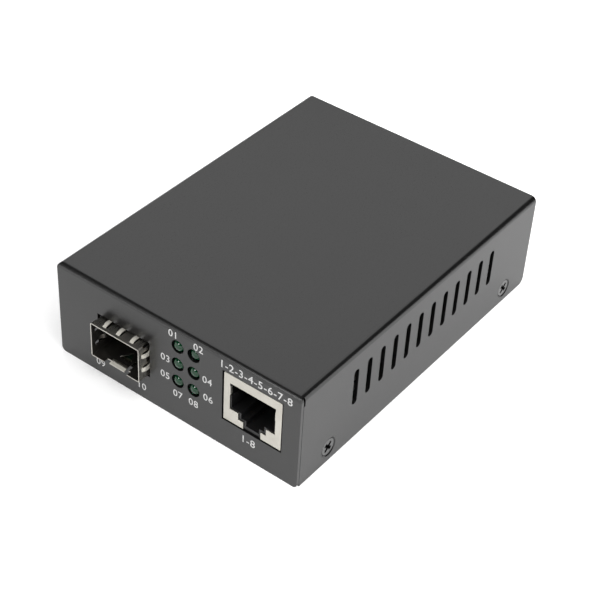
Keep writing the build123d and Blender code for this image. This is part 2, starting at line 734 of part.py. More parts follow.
# Transceiver cage: a folded thin sheet with spring fingers and a latch tongue
with BuildPart() as cage_shell:
    with BuildSketch(Plane.XZ.offset(-cage_mouth_y)):
        with Locations((cage_x, cage_mid_z)):
            RectangleRounded(cage_width, cage_height, cage_corner_radius)
    extrude(amount=-cage_length)
    cage_mouth = cage_shell.faces().sort_by(Axis.Y)[0]
    offset(amount=-cage_sheet, openings=cage_mouth)
    # Finger windows in the roof and in both walls, and slits along the roof corners
    with BuildSketch(Plane.XY.offset(cage_top_z)):
        with Locations(*[(x, (top_finger_start + finger_stop) / 2) for x in top_finger_spots]):
            Rectangle(finger_width + 2 * finger_slit, finger_stop - top_finger_start)
    extrude(amount=-2 * cage_sheet, mode=Mode.SUBTRACT)
    for side in (-1, 1):
        with BuildSketch(Plane.YZ.offset(cage_x + side * cage_width / 2)):
            with Locations(*[((side_finger_start + finger_stop) / 2, z) for z in side_finger_spots]):
                Rectangle(finger_stop - side_finger_start, side_finger_width + 2 * finger_slit)
        extrude(amount=-side * 2 * cage_sheet, mode=Mode.SUBTRACT)
        with BuildSketch(Plane.XZ.offset(-corner_slit_start)):
            with Locations((cage_x + side * cage_width / 2, cage_top_z)):
                Rectangle(2 * cage_corner_radius, 2 * cage_corner_radius + corner_slit_width)
        extrude(amount=-(finger_stop - corner_slit_start), mode=Mode.SUBTRACT)
    # Latch tongue, free at the mouth, between two slits that widen to a notch in the floor
    with BuildSketch(board_plane):
        with Locations((tongue_x, cage_mouth_y + tongue_length / 2)):
            Rectangle(tongue_width + 2 * tongue_slit, tongue_length)
        with Locations((cage_x, cage_mouth_y + tongue_notch_depth / 2)):
            Rectangle(tongue_notch_width, tongue_notch_depth)
    extrude(amount=2 * cage_sheet, mode=Mode.SUBTRACT)
    with BuildSketch(Plane.YZ.offset(tongue_x)):
        with BuildLine():
            Polyline(
                (tongue_root_y + cage_sheet, board_top_z),
                (tongue_root_y, board_top_z),
                (tongue_ramp_y, board_top_z + tongue_lift),
                (tongue_tip_y, board_top_z + tongue_lift - ramp_drop),
                (tongue_tip_y, board_top_z + tongue_lift - ramp_drop + cage_sheet),
                (tongue_ramp_y, cage_floor_top + tongue_lift),
                (tongue_root_y, cage_floor_top),
                (tongue_root_y + cage_sheet, cage_floor_top),
                close=True,
            )
        make_face()
    extrude(amount=tongue_width / 2, both=True)
    with BuildSketch(board_plane):
        with BuildLine():
            Polyline(
                (tongue_x - latch_base_width / 2, cage_mouth_y + latch_base_inset),
                (tongue_x + latch_base_width / 2, cage_mouth_y + latch_base_inset),
                (tongue_x, cage_mouth_y + latch_base_inset + latch_depth),
                close=True,
            )
        make_face()
    extrude(amount=2 * tongue_lift, mode=Mode.SUBTRACT)
    # Bowed spring fingers that touch the edge of the panel opening
    for x in top_finger_spots:
        with BuildSketch(Plane.YZ.offset(x)):
            with BuildLine():
                ThreePointArc(
                    (top_finger_start - cage_sheet, cage_top_z),
                    (finger_crest_y, cage_top_z + finger_rise),
                    (finger_stop - finger_slit, cage_top_z - cage_sheet),
                )
                Line((finger_stop - finger_slit, cage_top_z - cage_sheet), (finger_inner_y, finger_inner_z))
                ThreePointArc(
                    (finger_inner_y, finger_inner_z),
                    (finger_crest_y, cage_top_z + finger_rise - finger_thickness),
                    (top_finger_start - cage_sheet, cage_top_z - finger_thickness),
                )
                Line(
                    (top_finger_start - cage_sheet, cage_top_z - finger_thickness),
                    (top_finger_start - cage_sheet, cage_top_z),
                )
            make_face()
        extrude(amount=finger_width / 2, both=True)
    for side in (-1, 1):
        wall_x = cage_x + side * cage_width / 2
        for z in side_finger_spots:
            with BuildSketch(Plane.XY.offset(z)):
                with BuildLine():
                    ThreePointArc(
                        (wall_x, side_finger_start - cage_sheet),
                        (wall_x + side * finger_rise, side_crest_y),
                        (wall_x - side * cage_sheet, finger_stop - finger_slit),
                    )
                    Line(
                        (wall_x - side * cage_sheet, finger_stop - finger_slit),
                        (wall_x - side * (cage_sheet + finger_thickness / 2), finger_inner_y),
                    )
                    ThreePointArc(
                        (wall_x - side * (cage_sheet + finger_thickness / 2), finger_inner_y),
                        (wall_x + side * (finger_rise - finger_thickness), side_crest_y),
                        (wall_x - side * finger_thickness, side_finger_start - cage_sheet),
                    )
                    Line(
                        (wall_x - side * finger_thickness, side_finger_start - cage_sheet),
                        (wall_x, side_finger_start - cage_sheet),
                    )
                make_face()
            extrude(amount=side_finger_width / 2, both=True)
    # Room for the edge connector in the floor, and pins pressed through the board
    with BuildSketch(board_plane):
        with Locations((cage_x, (cage_floor_cut_y + cage_back_y) / 2 - cage_sheet)):
            Rectangle(cage_width - 4 * cage_sheet, cage_back_y - cage_floor_cut_y - 2 * cage_sheet)
    extrude(amount=2 * cage_sheet, mode=Mode.SUBTRACT)
    with BuildSketch(board_plane.offset(cage_sheet / 2)):
        with Locations(*cage_pin_spots):
            Rectangle(cage_sheet, cage_pin_width)
    extrude(amount=-(cage_pin_length + cage_sheet / 2))
cage_shell.part.label = "cage_shell"
export_step(cage_shell.part, "parts/cage_shell.step")

# Edge connector at the inner end of the cage
with BuildPart() as edge_connector:
    with BuildSketch(board_plane):
        with Locations((cage_x, edge_front_y + edge_connector_depth / 2)):
            Rectangle(edge_connector_width, edge_connector_depth)
    extrude(amount=edge_connector_height)
    chamfer(edge_connector.edges().group_by(Axis.Y)[0].filter_by(Axis.Z), length=edge_connector_chamfer)
    with BuildSketch(Plane.XZ.offset(-edge_front_y)):
        with Locations((cage_x, board_top_z + edge_slot_z)):
            Rectangle(edge_slot_width, edge_slot_height)
    extrude(amount=-edge_slot_depth, mode=Mode.SUBTRACT)
    # Grooves for the upper contacts run right through, those for the lower ones to the front
    with BuildSketch(Plane.XZ.offset(-edge_front_y)):
        with Locations(*[(x, board_top_z + edge_slot_z + edge_slot_height / 2) for x in edge_contact_spots]):
            Rectangle(edge_groove_width, 2 * edge_groove_depth)
    extrude(amount=-edge_connector_depth, mode=Mode.SUBTRACT)
    with BuildSketch(Plane.XZ.offset(-edge_front_y)):
        with Locations(*[(x, board_top_z + edge_slot_z - edge_slot_height / 2) for x in edge_contact_spots]):
            Rectangle(edge_groove_width, 2 * edge_groove_depth)
    extrude(amount=-edge_slot_depth, mode=Mode.SUBTRACT)
edge_connector.part.label = "edge_connector"
export_step(edge_connector.part, "parts/edge_connector.step")

# Its twenty contacts, upper row led out behind and lower row in front
with BuildPart() as edge_contacts:
    for x in edge_contact_spots:
        with BuildSketch(Plane.YZ.offset(x)):
            with BuildLine():
                Polyline(
                    (edge_front_y + edge_upper_start, edge_upper_z),
                    (edge_rear_leg_y + edge_contact_thickness, edge_upper_z),
                    (edge_rear_leg_y + edge_contact_thickness, edge_foot_z),
                    (edge_rear_y + edge_foot_reach, edge_foot_z),
                    (edge_rear_y + edge_foot_reach, board_top_z),
                    (edge_rear_leg_y, board_top_z),
                    (edge_rear_leg_y, edge_upper_z - edge_contact_thickness),
                    (edge_front_y + edge_upper_start, edge_upper_z - edge_contact_thickness),
                    close=True,
                )
            make_face()
            with BuildLine():
                Polyline(
                    (edge_lower_stop_y, edge_lower_z),
                    (edge_front_leg_y - edge_contact_thickness, edge_lower_z),
                    (edge_front_leg_y - edge_contact_thickness, edge_foot_z),
                    (edge_front_y - edge_foot_reach, edge_foot_z),
                    (edge_front_y - edge_foot_reach, board_top_z),
                    (edge_front_leg_y, board_top_z),
                    (edge_front_leg_y, edge_lower_z - edge_contact_thickness),
                    (edge_lower_stop_y, edge_lower_z - edge_contact_thickness),
                    close=True,
                )
            make_face()
        extrude(amount=edge_contact_width / 2, both=True)
edge_contacts.part.label = "edge_contacts"
export_step(edge_contacts.part, "parts/edge_contacts.step")

# Metal shell of the network jack
with BuildPart() as jack_shell:
    with BuildSketch(Plane.XZ.offset(-jack_front_y)):
        with Locations((jack_x, jack_base_z + jack_height / 2)):
            Rectangle(jack_width, jack_height)
    extrude(amount=-jack_depth)
    fillet(jack_shell.edges().filter_by(Axis.Y).group_by(Axis.Z)[-1], radius=jack_corner_radius)
    jack_underside = jack_shell.faces().sort_by(Axis.Z)[0]
    offset(amount=-jack_sheet, openings=jack_underside)
    # Plug mouth with its latch step and slot
    with BuildSketch(Plane.XZ.offset(-jack_front_y)):
        with Locations((jack_x, jack_base_z + jack_mouth_base + jack_mouth_height / 2)):
            Rectangle(jack_mouth_width, jack_mouth_height)
        with Locations((jack_x, jack_base_z + (jack_step_base + jack_mouth_base) / 2)):
            Rectangle(jack_step_width, jack_mouth_base - jack_step_base)
        with Locations((jack_x, jack_base_z + jack_step_base / 2)):
            Rectangle(jack_slot_width, jack_step_base)
    extrude(amount=-2 * jack_sheet, mode=Mode.SUBTRACT)
    # Leaf springs that fold in from both sides of the mouth
    for side in (-1, 1):
        edge_x = jack_x + side * jack_mouth_width / 2
        crest_x = edge_x - side * jack_spring_bulge
        with BuildSketch(Plane.XY.offset(jack_base_z + jack_spring_z)):
            with BuildLine():
                ThreePointArc(
                    (edge_x - side * jack_spring_start, jack_front_y),
                    (crest_x, jack_front_y + jack_spring_length / 2),
                    (edge_x, jack_front_y + jack_spring_length),
                )
                Line(
                    (edge_x, jack_front_y + jack_spring_length),
                    (edge_x + side * jack_leaf_sheet, jack_front_y + jack_spring_length),
                )
                ThreePointArc(
                    (edge_x + side * jack_leaf_sheet, jack_front_y + jack_spring_length),
                    (crest_x + side * jack_leaf_sheet, jack_front_y + jack_spring_length / 2),
                    (edge_x + side * jack_leaf_sheet, jack_front_y),
                )
                Line(
                    (edge_x + side * jack_leaf_sheet, jack_front_y),
                    (edge_x - side * jack_spring_start, jack_front_y),
                )
            make_face()
        extrude(amount=jack_spring_height / 2, both=True)
    # Solder tabs
    with BuildSketch(Plane.XY.offset(jack_base_z)):
        with Locations(*jack_tab_spots):
            Rectangle(jack_sheet, jack_tab_width)
    extrude(amount=-(jack_lift + jack_tail_length))
jack_shell.part.label = "jack_shell"
export_step(jack_shell.part, "parts/jack_shell.step")

# Insulator of the network jack
with BuildPart() as jack_body:
    with BuildSketch(Plane.XZ.offset(-jack_body_front_y)):
        with Locations((jack_x, jack_base_z + jack_body_height / 2)):
            Rectangle(jack_body_width, jack_body_height)
    extrude(amount=-jack_body_depth)
    fillet(jack_body.edges().filter_by(Axis.Y).group_by(Axis.Z)[-1], radius=jack_corner_radius)
    # Plug cavity
    with BuildSketch(Plane.XZ.offset(-jack_body_front_y)):
        with Locations((jack_x, jack_base_z + plug_base + plug_height / 2)):
            Rectangle(plug_width, plug_height)
        with Locations((jack_x, jack_base_z + (latch_step_base + plug_base) / 2)):
            Rectangle(latch_step_width, plug_base - latch_step_base)
        with Locations((jack_x, jack_base_z + (latch_slot_base + latch_step_base) / 2)):
            Rectangle(latch_slot_width, latch_step_base - latch_slot_base)
    extrude(amount=-plug_depth, mode=Mode.SUBTRACT)
    # Pockets beside the cavity for the leaf springs
    with BuildSketch(Plane.XZ.offset(-jack_body_front_y)):
        with Locations((jack_x, jack_base_z + jack_spring_z)):
            Rectangle(jack_mouth_width + 4 * jack_leaf_sheet, jack_spring_height + 2 * jack_leaf_sheet)
    extrude(amount=-(jack_spring_length + jack_leaf_sheet), mode=Mode.SUBTRACT)
    # Grooves for the contact wires, above the cavity and down behind it
    with BuildSketch(Plane.XY.offset(wire_top_z + wire_groove_gap)):
        with Locations(*[(x, (wire_front_y + wire_tail_y) / 2) for x in wire_spots]):
            Rectangle(wire_groove_width, wire_tail_y - wire_front_y + wire_thickness + 4 * wire_groove_gap)
    extrude(amount=-(wire_rise + 2 * wire_groove_gap), mode=Mode.SUBTRACT)
    with BuildSketch(Plane.XY.offset(wire_top_z)):
        with Locations(*[(x, wire_tail_y) for x in wire_spots]):
            Rectangle(wire_groove_width, wire_thickness + 2 * wire_groove_gap)
    extrude(amount=-(wire_top_z - jack_base_z), mode=Mode.SUBTRACT)
    # Feet with locating pegs
    with BuildSketch(Plane.XY.offset(jack_base_z)):
        with Locations(*jack_peg_spots):
            Circle(jack_peg_shoulder)
    extrude(amount=-jack_lift)
    with BuildSketch(Plane.XY.offset(jack_base_z)):
        with Locations(*jack_peg_spots):
            Circle(jack_peg_radius)
    extrude(amount=-(jack_lift + board_thickness))
jack_body.part.label = "jack_body"
export_step(jack_body.part, "parts/jack_body.step")

# Eight contact wires of the network jack
with BuildPart() as jack_wires:
    for x in wire_spots:
        with BuildSketch(Plane.YZ.offset(x)):
            with BuildLine():
                Polyline(
                    (wire_front_y, wire_top_z),
                    (wire_tail_y + wire_thickness / 2, wire_top_z),
                    (wire_tail_y + wire_thickness / 2, board_bottom_tail_z),
                    (wire_tail_y - wire_thickness / 2, board_bottom_tail_z),
                    (wire_tail_y - wire_thickness / 2, wire_top_z - wire_thickness),
                    (wire_front_y + 2 * wire_thickness, wire_top_z - wire_thickness),
                    (wire_front_y + wire_run, wire_top_z - wire_drop),
                    (wire_front_y + wire_run, wire_top_z - wire_drop - wire_thickness),
                    (wire_front_y, wire_top_z - wire_thickness),
                    close=True,
                )
            make_face()
        extrude(amount=wire_width / 2, both=True)
jack_wires.part.label = "jack_wires"
export_step(jack_wires.part, "parts/jack_wires.step")

# Six status lamps with domed tips
with BuildPart() as status_lamps:
    for x, z in lamp_spots:
        with BuildSketch(Plane.XZ.offset(-lamp_back_y)):
            with Locations((x, z)):
                Circle(lamp_flange_radius)
        extrude(amount=lamp_flange_length)
        with BuildSketch(Plane.XZ.offset(-lamp_back_y)):
            with Locations((x, z)):
                Circle(lamp_radius)
        extrude(amount=lamp_length)
    fillet(status_lamps.edges().filter_by(GeomType.CIRCLE).group_by(Axis.Y)[0], radius=lamp_dome_radius)
status_lamps.part.label = "status_lamps"
export_step(status_lamps.part, "parts/status_lamps.step")

# Holder block that keeps the lamps at their heights
with BuildPart() as lamp_holder:
    with BuildSketch(board_plane):
        with Locations((lamp_x, (lamp_back_y + lamp_holder_back_y) / 2)):
            Rectangle(lamp_holder_width, lamp_holder_depth)
    extrude(amount=lamp_holder_top_z - board_top_z)
    chamfer(lamp_holder.edges().filter_by(Axis.Y).group_by(Axis.Z)[-1], length=lamp_holder_chamfer)
    with BuildSketch(Plane.XZ.offset(-lamp_back_y)):
        with Locations(*[(x, z) for x in lead_spots for z in lamp_heights]):
            Rectangle(lead_hole, lead_hole)
    extrude(amount=-lamp_holder_depth, mode=Mode.SUBTRACT)
lamp_holder.part.label = "lamp_holder"
export_step(lamp_holder.part, "parts/lamp_holder.step")

# Lamp leads, led back through the holder and down into the board
with BuildPart() as lamp_leads:
    for x in lead_spots:
        for z, y in zip(lamp_heights, lead_row_y):
            with BuildSketch(Plane.YZ.offset(x)):
                with BuildLine():
                    Polyline(
                        (lamp_back_y, z + lead_width / 2),
                        (y + lead_width / 2, z + lead_width / 2),
                        (y + lead_width / 2, board_bottom_tail_z),
                        (y - lead_width / 2, board_bottom_tail_z),
                        (y - lead_width / 2, z - lead_width / 2),
                        (lamp_back_y, z - lead_width / 2),
                        close=True,
                    )
                make_face()
            extrude(amount=lead_width / 2, both=True)
lamp_leads.part.label = "lamp_leads"
export_step(lamp_leads.part, "parts/lamp_leads.step")

# Body of the power jack: a square nose in the rear panel and a rounded barrel behind it
with BuildPart() as power_body:
    with BuildSketch(Plane.XZ.offset(-power_front_y)):
        with Locations((power_x, board_top_z + power_height / 2)):
            RectangleRounded(power_width, power_height, power_corner_round)
    extrude(amount=power_nose_depth)
    with BuildSketch(Plane.XZ.offset(-power_front_y)):
        with Locations((power_x, board_top_z + power_bore_z / 2)):
            Rectangle(power_width, power_bore_z)
        with Locations((power_x, board_top_z + power_bore_z)):
            Circle(power_width / 2)
    extrude(amount=power_depth)
    with BuildSketch(Plane.XZ.offset(-power_front_y)):
        with Locations((power_x, board_top_z + power_bore_z)):
            Circle(power_bore_radius)
    extrude(amount=power_bore_depth, mode=Mode.SUBTRACT)
    mouth_edges = power_body.faces().sort_by(Axis.Y)[-1].edges().filter_by(GeomType.CIRCLE)
    chamfer(mouth_edges, length=power_bore_chamfer)
    # Passage for the centre pin and a window for the spring
    with BuildSketch(Plane.XZ.offset(-power_back_y)):
        with Locations((power_x, board_top_z + power_bore_z)):
            Circle(power_pin_radius + screw_clearance)
    extrude(amount=-power_depth, mode=Mode.SUBTRACT)
    with BuildSketch(board_plane):
        with Locations((power_x, power_spring_tab_y + power_window_length / 2 - power_spring_thickness)):
            Rectangle(power_tab_width + 2 * pin_hole_gap, power_window_length)
    extrude(amount=power_bore_z - power_pin_radius, mode=Mode.SUBTRACT)
power_body.part.label = "power_body"
export_step(power_body.part, "parts/power_body.step")

# Centre pin of the power jack with its terminal down the back
with BuildPart() as power_pin:
    with BuildSketch(Plane.XZ.offset(-power_back_y)):
        with Locations((power_x, board_top_z + power_bore_z)):
            Circle(power_pin_radius)
    extrude(amount=-(power_depth - power_bore_depth + power_pin_length))
    fillet(power_pin.edges().group_by(Axis.Y)[-1], radius=power_pin_radius / 2)
    with BuildSketch(Plane.XZ.offset(-power_back_y)):
        with Locations((power_x, (board_bottom_tail_z + board_top_z + power_bore_z + power_pin_radius) / 2)):
            Rectangle(power_tab_width, board_top_z + power_bore_z + power_pin_radius - board_bottom_tail_z)
    extrude(amount=power_spring_thickness)
power_pin.part.label = "power_pin"
export_step(power_pin.part, "parts/power_pin.step")

# Spring of the power jack, arched into the bore
with BuildPart() as power_spring:
    with BuildSketch(Plane.YZ.offset(power_x)):
        with BuildLine():
            Polyline(
                (power_spring_tab_y - power_spring_thickness / 2, board_bottom_tail_z),
                (power_spring_tab_y - power_spring_thickness / 2, power_leaf_z),
                (power_spring_tab_y + power_leaf_length / 2, power_leaf_crest_z),
                (power_spring_tab_y + power_leaf_length, power_leaf_z),
                (power_spring_tab_y + power_leaf_length, power_leaf_z - power_spring_thickness),
                (power_spring_tab_y + power_leaf_length / 2, power_leaf_crest_z - power_spring_thickness),
                (power_spring_tab_y + power_spring_thickness / 2, power_leaf_z - power_spring_thickness),
                (power_spring_tab_y + power_spring_thickness / 2, board_bottom_tail_z),
                close=True,
            )
        make_face()
    extrude(amount=power_spring_width / 2, both=True)
power_spring.part.label = "power_spring"
export_step(power_spring.part, "parts/power_spring.step")

# Slide switch housing with one window and one carriage pocket per actuator
with BuildPart() as switch_housing:
    with BuildSketch(Plane.XZ.offset(-switch_face_y)):
        with Locations((switch_x, switch_mid_z)):
            Rectangle(switch_width, switch_height)
    extrude(amount=switch_depth - switch_base_thickness)
    chamfer(switch_housing.faces().sort_by(Axis.Y)[-1].edges(), length=switch_chamfer)
    with BuildSketch(Plane.XZ.offset(-switch_face_y)):
        with Locations(*[(x, switch_mid_z) for x in switch_spots]):
            Rectangle(knob_width + 2 * knob_gap, knob_height + knob_travel + 2 * knob_end_gap)
    extrude(amount=2 * switch_wall, both=True, mode=Mode.SUBTRACT)
    with BuildSketch(Plane.XZ.offset(-(switch_face_y - switch_wall))):
        with Locations(*[(x, switch_mid_z) for x in switch_spots]):
            Rectangle(carriage_width + 2 * knob_gap, carriage_height + knob_travel + 2 * knob_end_gap)
    extrude(amount=switch_depth - switch_wall - switch_base_thickness, mode=Mode.SUBTRACT)
switch_housing.part.label = "switch_housing"
export_step(switch_housing.part, "parts/switch_housing.step")

# Switch base that closes the housing from inside, with the rails the carriages run on
with BuildPart() as switch_base:
    with BuildSketch(Plane.XZ.offset(-switch_inner_y)):
        with Locations((switch_x, switch_mid_z)):
            Rectangle(switch_width, switch_height)
    extrude(amount=-switch_base_thickness)
    with BuildSketch(Plane.XZ.offset(-(switch_inner_y + switch_base_thickness))):
        with Locations(*[(x, switch_mid_z) for x in switch_spots]):
            Rectangle(carriage_width - 2 * knob_gap, carriage_height + knob_travel - 2 * knob_gap)
    extrude(amount=-switch_rail_length)
switch_base.part.label = "switch_base"
export_step(switch_base.part, "parts/switch_base.step")

# Three actuators, all in their lower position
with BuildPart() as switch_knob_left:
    with BuildSketch(Plane.XZ.offset(-(switch_face_y + knob_proud))):
        with Locations((switch_spots[0], knob_rest_z)):
            Rectangle(knob_width, knob_height)
    extrude(amount=knob_proud + switch_wall + knob_gap)
    chamfer(switch_knob_left.faces().sort_by(Axis.Y)[-1].edges(), length=knob_chamfer)
    with BuildSketch(Plane.XZ.offset(-(switch_face_y - switch_wall - knob_gap))):
        with Locations((switch_spots[0], knob_rest_z)):
            Rectangle(carriage_width, carriage_height)
    extrude(amount=carriage_depth)
switch_knob_left.part.label = "switch_knob_left"
export_step(switch_knob_left.part, "parts/switch_knob_left.step")

with BuildPart() as switch_knob_middle:
    with BuildSketch(Plane.XZ.offset(-(switch_face_y + knob_proud))):
        with Locations((switch_spots[1], knob_rest_z)):
            Rectangle(knob_width, knob_height)
    extrude(amount=knob_proud + switch_wall + knob_gap)
    chamfer(switch_knob_middle.faces().sort_by(Axis.Y)[-1].edges(), length=knob_chamfer)
    with BuildSketch(Plane.XZ.offset(-(switch_face_y - switch_wall - knob_gap))):
        with Locations((switch_spots[1], knob_rest_z)):
            Rectangle(carriage_width, carriage_height)
    extrude(amount=carriage_depth)
switch_knob_middle.part.label = "switch_knob_middle"
export_step(switch_knob_middle.part, "parts/switch_knob_middle.step")

with BuildPart() as switch_knob_right:
    with BuildSketch(Plane.XZ.offset(-(switch_face_y + knob_proud))):
        with Locations((switch_spots[2], knob_rest_z)):
            Rectangle(knob_width, knob_height)
    extrude(amount=knob_proud + switch_wall + knob_gap)
    chamfer(switch_knob_right.faces().sort_by(Axis.Y)[-1].edges(), length=knob_chamfer)
    with BuildSketch(Plane.XZ.offset(-(switch_face_y - switch_wall - knob_gap))):
        with Locations((switch_spots[2], knob_rest_z)):
            Rectangle(carriage_width, carriage_height)
    extrude(amount=carriage_depth)
switch_knob_right.part.label = "switch_knob_right"
export_step(switch_knob_right.part, "parts/switch_knob_right.step")

# Switch pins through the board
with BuildPart() as switch_pins:
    with BuildSketch(board_plane):
        with Locations(*switch_pin_spots):
            Rectangle(switch_pin_width, switch_pin_width)
    extrude(amount=board_bottom_tail_z - board_top_z)
switch_pins.part.label = "switch_pins"
export_step(switch_pins.part, "parts/switch_pins.step")

# Converter chip in the middle of the front half of the board
with BuildPart() as converter_chip:
    with BuildSketch(board_plane):
        with Locations((middle_x, converter_chip_y)):
            Rectangle(converter_chip_size, converter_chip_size)
    extrude(amount=converter_chip_height)
    chamfer(converter_chip.edges().group_by(Axis.Z)[-1], length=converter_chip_chamfer)
    with BuildSketch(board_plane.offset(converter_chip_height)):
        with Locations((middle_x - chip_dot_offset, converter_chip_y + chip_dot_offset)):
            Circle(chip_dot_radius)
    extrude(amount=-chip_dot_depth, mode=Mode.SUBTRACT)
converter_chip.part.label = "converter_chip"
export_step(converter_chip.part, "parts/converter_chip.step")

# Network magnetics behind the jack: a moulded block on gull wing leads
with BuildPart() as magnetics_block:
    with BuildSketch(board_plane.offset(magnetics_lift)):
        with Locations((magnetics_x, magnetics_y)):
            Rectangle(magnetics_length, magnetics_width)
    extrude(amount=magnetics_height)
    chamfer(magnetics_block.edges().group_by(Axis.Z)[-1], length=magnetics_chamfer)
magnetics_block.part.label = "magnetics_block"
export_step(magnetics_block.part, "parts/magnetics_block.step")

with BuildPart() as magnetics_leads:
    for x in magnetics_lead_spots:
        for side in (-1, 1):
            wall_y = magnetics_y + side * magnetics_width / 2
            with BuildSketch(Plane.YZ.offset(x)):
                with BuildLine():
                    Polyline(
                        (wall_y, magnetics_lead_z + magnetics_lead_sheet),
                        (wall_y + side * magnetics_lead_out, magnetics_lead_z + magnetics_lead_sheet),
                        (wall_y + side * magnetics_lead_out, board_top_z + magnetics_lead_sheet),
                        (wall_y + side * 2 * magnetics_lead_out, board_top_z + magnetics_lead_sheet),
                        (wall_y + side * 2 * magnetics_lead_out, board_top_z),
                        (wall_y + side * (magnetics_lead_out - magnetics_lead_sheet), board_top_z),
                        (wall_y + side * (magnetics_lead_out - magnetics_lead_sheet), magnetics_lead_z),
                        (wall_y, magnetics_lead_z),
                        close=True,
                    )
                make_face()
            extrude(amount=magnetics_lead_width / 2, both=True)
magnetics_leads.part.label = "magnetics_leads"
export_step(magnetics_leads.part, "parts/magnetics_leads.step")

# Crystal in a low metal can with a rim
with BuildPart() as crystal_can:
    with BuildSketch(board_plane):
        with Locations((middle_x, crystal_y)):
            Rectangle(crystal_length, crystal_width)
    extrude(amount=crystal_base_height)
    with BuildSketch(board_plane.offset(crystal_base_height)):
        with Locations((middle_x, crystal_y)):
            RectangleRounded(crystal_lid_length, crystal_lid_width, crystal_corner_radius)
    extrude(amount=crystal_height - crystal_base_height)
    fillet(crystal_can.edges().group_by(Axis.Z)[-1], radius=crystal_edge_round)
crystal_can.part.label = "crystal_can"
export_step(crystal_can.part, "parts/crystal_can.step")

# Power chip on a thermal tab, with a row of pins
with BuildPart() as power_chip:
    with BuildSketch(board_plane):
        with Locations((middle_x, power_chip_y)):
            Rectangle(power_chip_width, power_chip_length)
    extrude(amount=power_chip_height)
    chamfer(power_chip.edges().group_by(Axis.Z)[-1], length=power_chip_chamfer)
    with BuildSketch(board_plane):
        with Locations((middle_x, power_chip_y + power_chip_length / 2)):
            Rectangle(power_chip_tab_width, 2 * power_chip_pin_length)
        with Locations((middle_x, power_chip_y - power_chip_length / 2)):
            with GridLocations(power_chip_pin_pitch, power_chip_pin_pitch, power_chip_pin_count, 1):
                Rectangle(power_chip_pin_width, 2 * power_chip_pin_length)
    extrude(amount=power_chip_pin_height)
power_chip.part.label = "power_chip"
export_step(power_chip.part, "parts/power_chip.step")

# Power inductor: a square foot and a round bobbin with its winding
with BuildPart() as inductor_core:
    with BuildSketch(board_plane):
        with Locations((inductor_x, inductor_y)):
            RectangleRounded(inductor_size, inductor_size, inductor_corner_radius)
    extrude(amount=inductor_flange)
    with BuildSketch(board_plane):
        with Locations((inductor_x, inductor_y)):
            Circle(inductor_core_radius)
    extrude(amount=inductor_height)
    with BuildSketch(board_plane.offset(inductor_height - inductor_flange)):
        with Locations((inductor_x, inductor_y)):
            Circle(inductor_size / 2 - inductor_rim_gap)
    extrude(amount=inductor_flange)
inductor_core.part.label = "inductor_core"
export_step(inductor_core.part, "parts/inductor_core.step")

with BuildPart() as inductor_winding:
    with BuildSketch(board_plane.offset(inductor_flange)):
        with Locations((inductor_x, inductor_y)):
            Circle(inductor_size / 2 - inductor_winding_gap)
            Circle(inductor_core_radius, mode=Mode.SUBTRACT)
    extrude(amount=inductor_height - 2 * inductor_flange)
inductor_winding.part.label = "inductor_winding"
export_step(inductor_winding.part, "parts/inductor_winding.step")

# Storage capacitors: cans with a rolled groove above the seal
with BuildPart() as storage_capacitors:
    for x, y, radius, height in can_spots:
        with BuildSketch(Plane.XZ.offset(-y)):
            with BuildLine():
                Polyline(
                    (x, board_top_z),
                    (x + radius, board_top_z),
                    (x + radius, board_top_z + can_groove_height - can_groove),
                    (x + radius - can_groove, board_top_z + can_groove_height),
                    (x + radius, board_top_z + can_groove_height + can_groove),
                    (x + radius, board_top_z + height - can_groove),
                    (x + radius - can_groove, board_top_z + height),
                    (x, board_top_z + height),
                    close=True,
                )
            make_face()
        revolve(axis=Axis((x, y, 0), (0, 0, 1)))
storage_capacitors.part.label = "storage_capacitors"
export_step(storage_capacitors.part, "parts/storage_capacitors.step")

with BuildPart() as capacitor_leads:
    with BuildSketch(board_plane):
        with Locations(*can_lead_spots):
            Circle(can_lead_radius)
    extrude(amount=board_bottom_tail_z - board_top_z)
capacitor_leads.part.label = "capacitor_leads"
export_step(capacitor_leads.part, "parts/capacitor_leads.step")

# Rectifier block on four pins
with BuildPart() as rectifier:
    with BuildSketch(board_plane):
        with Locations((rectifier_x, rectifier_y)):
            Rectangle(rectifier_width, rectifier_length)
    extrude(amount=rectifier_height)
    chamfer(rectifier.edges().group_by(Axis.Z)[-1], length=rectifier_chamfer)
    with BuildSketch(board_plane):
        with Locations((rectifier_x, rectifier_y)):
            with GridLocations(rectifier_pin_pitch, rectifier_length, 2, 2):
                Rectangle(rectifier_pin_width, 2 * rectifier_pin_length)
    extrude(amount=rectifier_pin_height)
rectifier.part.label = "rectifier"
export_step(rectifier.part, "parts/rectifier.step")

# Fuse with a metal cap at each end
with BuildPart() as fuse:
    with BuildSketch(board_plane):
        with Locations((fuse_x, fuse_y)):
            Rectangle(fuse_width, fuse_length - 2 * fuse_cap_rise)
    extrude(amount=fuse_height)
    with BuildSketch(board_plane):
        with Locations((fuse_x, fuse_y)):
            with GridLocations(fuse_width, fuse_length - fuse_cap_length, 1, 2):
                Rectangle(fuse_width + 2 * fuse_cap_rise, fuse_cap_length)
    extrude(amount=fuse_height + fuse_cap_rise)
fuse.part.label = "fuse"
export_step(fuse.part, "parts/fuse.step")

# Small resistors and capacitors behind the converter chip and behind the power chip
with BuildPart() as chip_parts:
    with BuildSketch(board_plane):
        with Locations(*[(middle_x, y) for y in chip_part_group_y]):
            with GridLocations(chip_part_pitch, chip_part_row_pitch, chip_part_columns, chip_part_rows):
                Rectangle(chip_part_width, chip_part_length)
    extrude(amount=chip_part_height)
chip_parts.part.label = "chip_parts"
export_step(chip_parts.part, "parts/chip_parts.step")
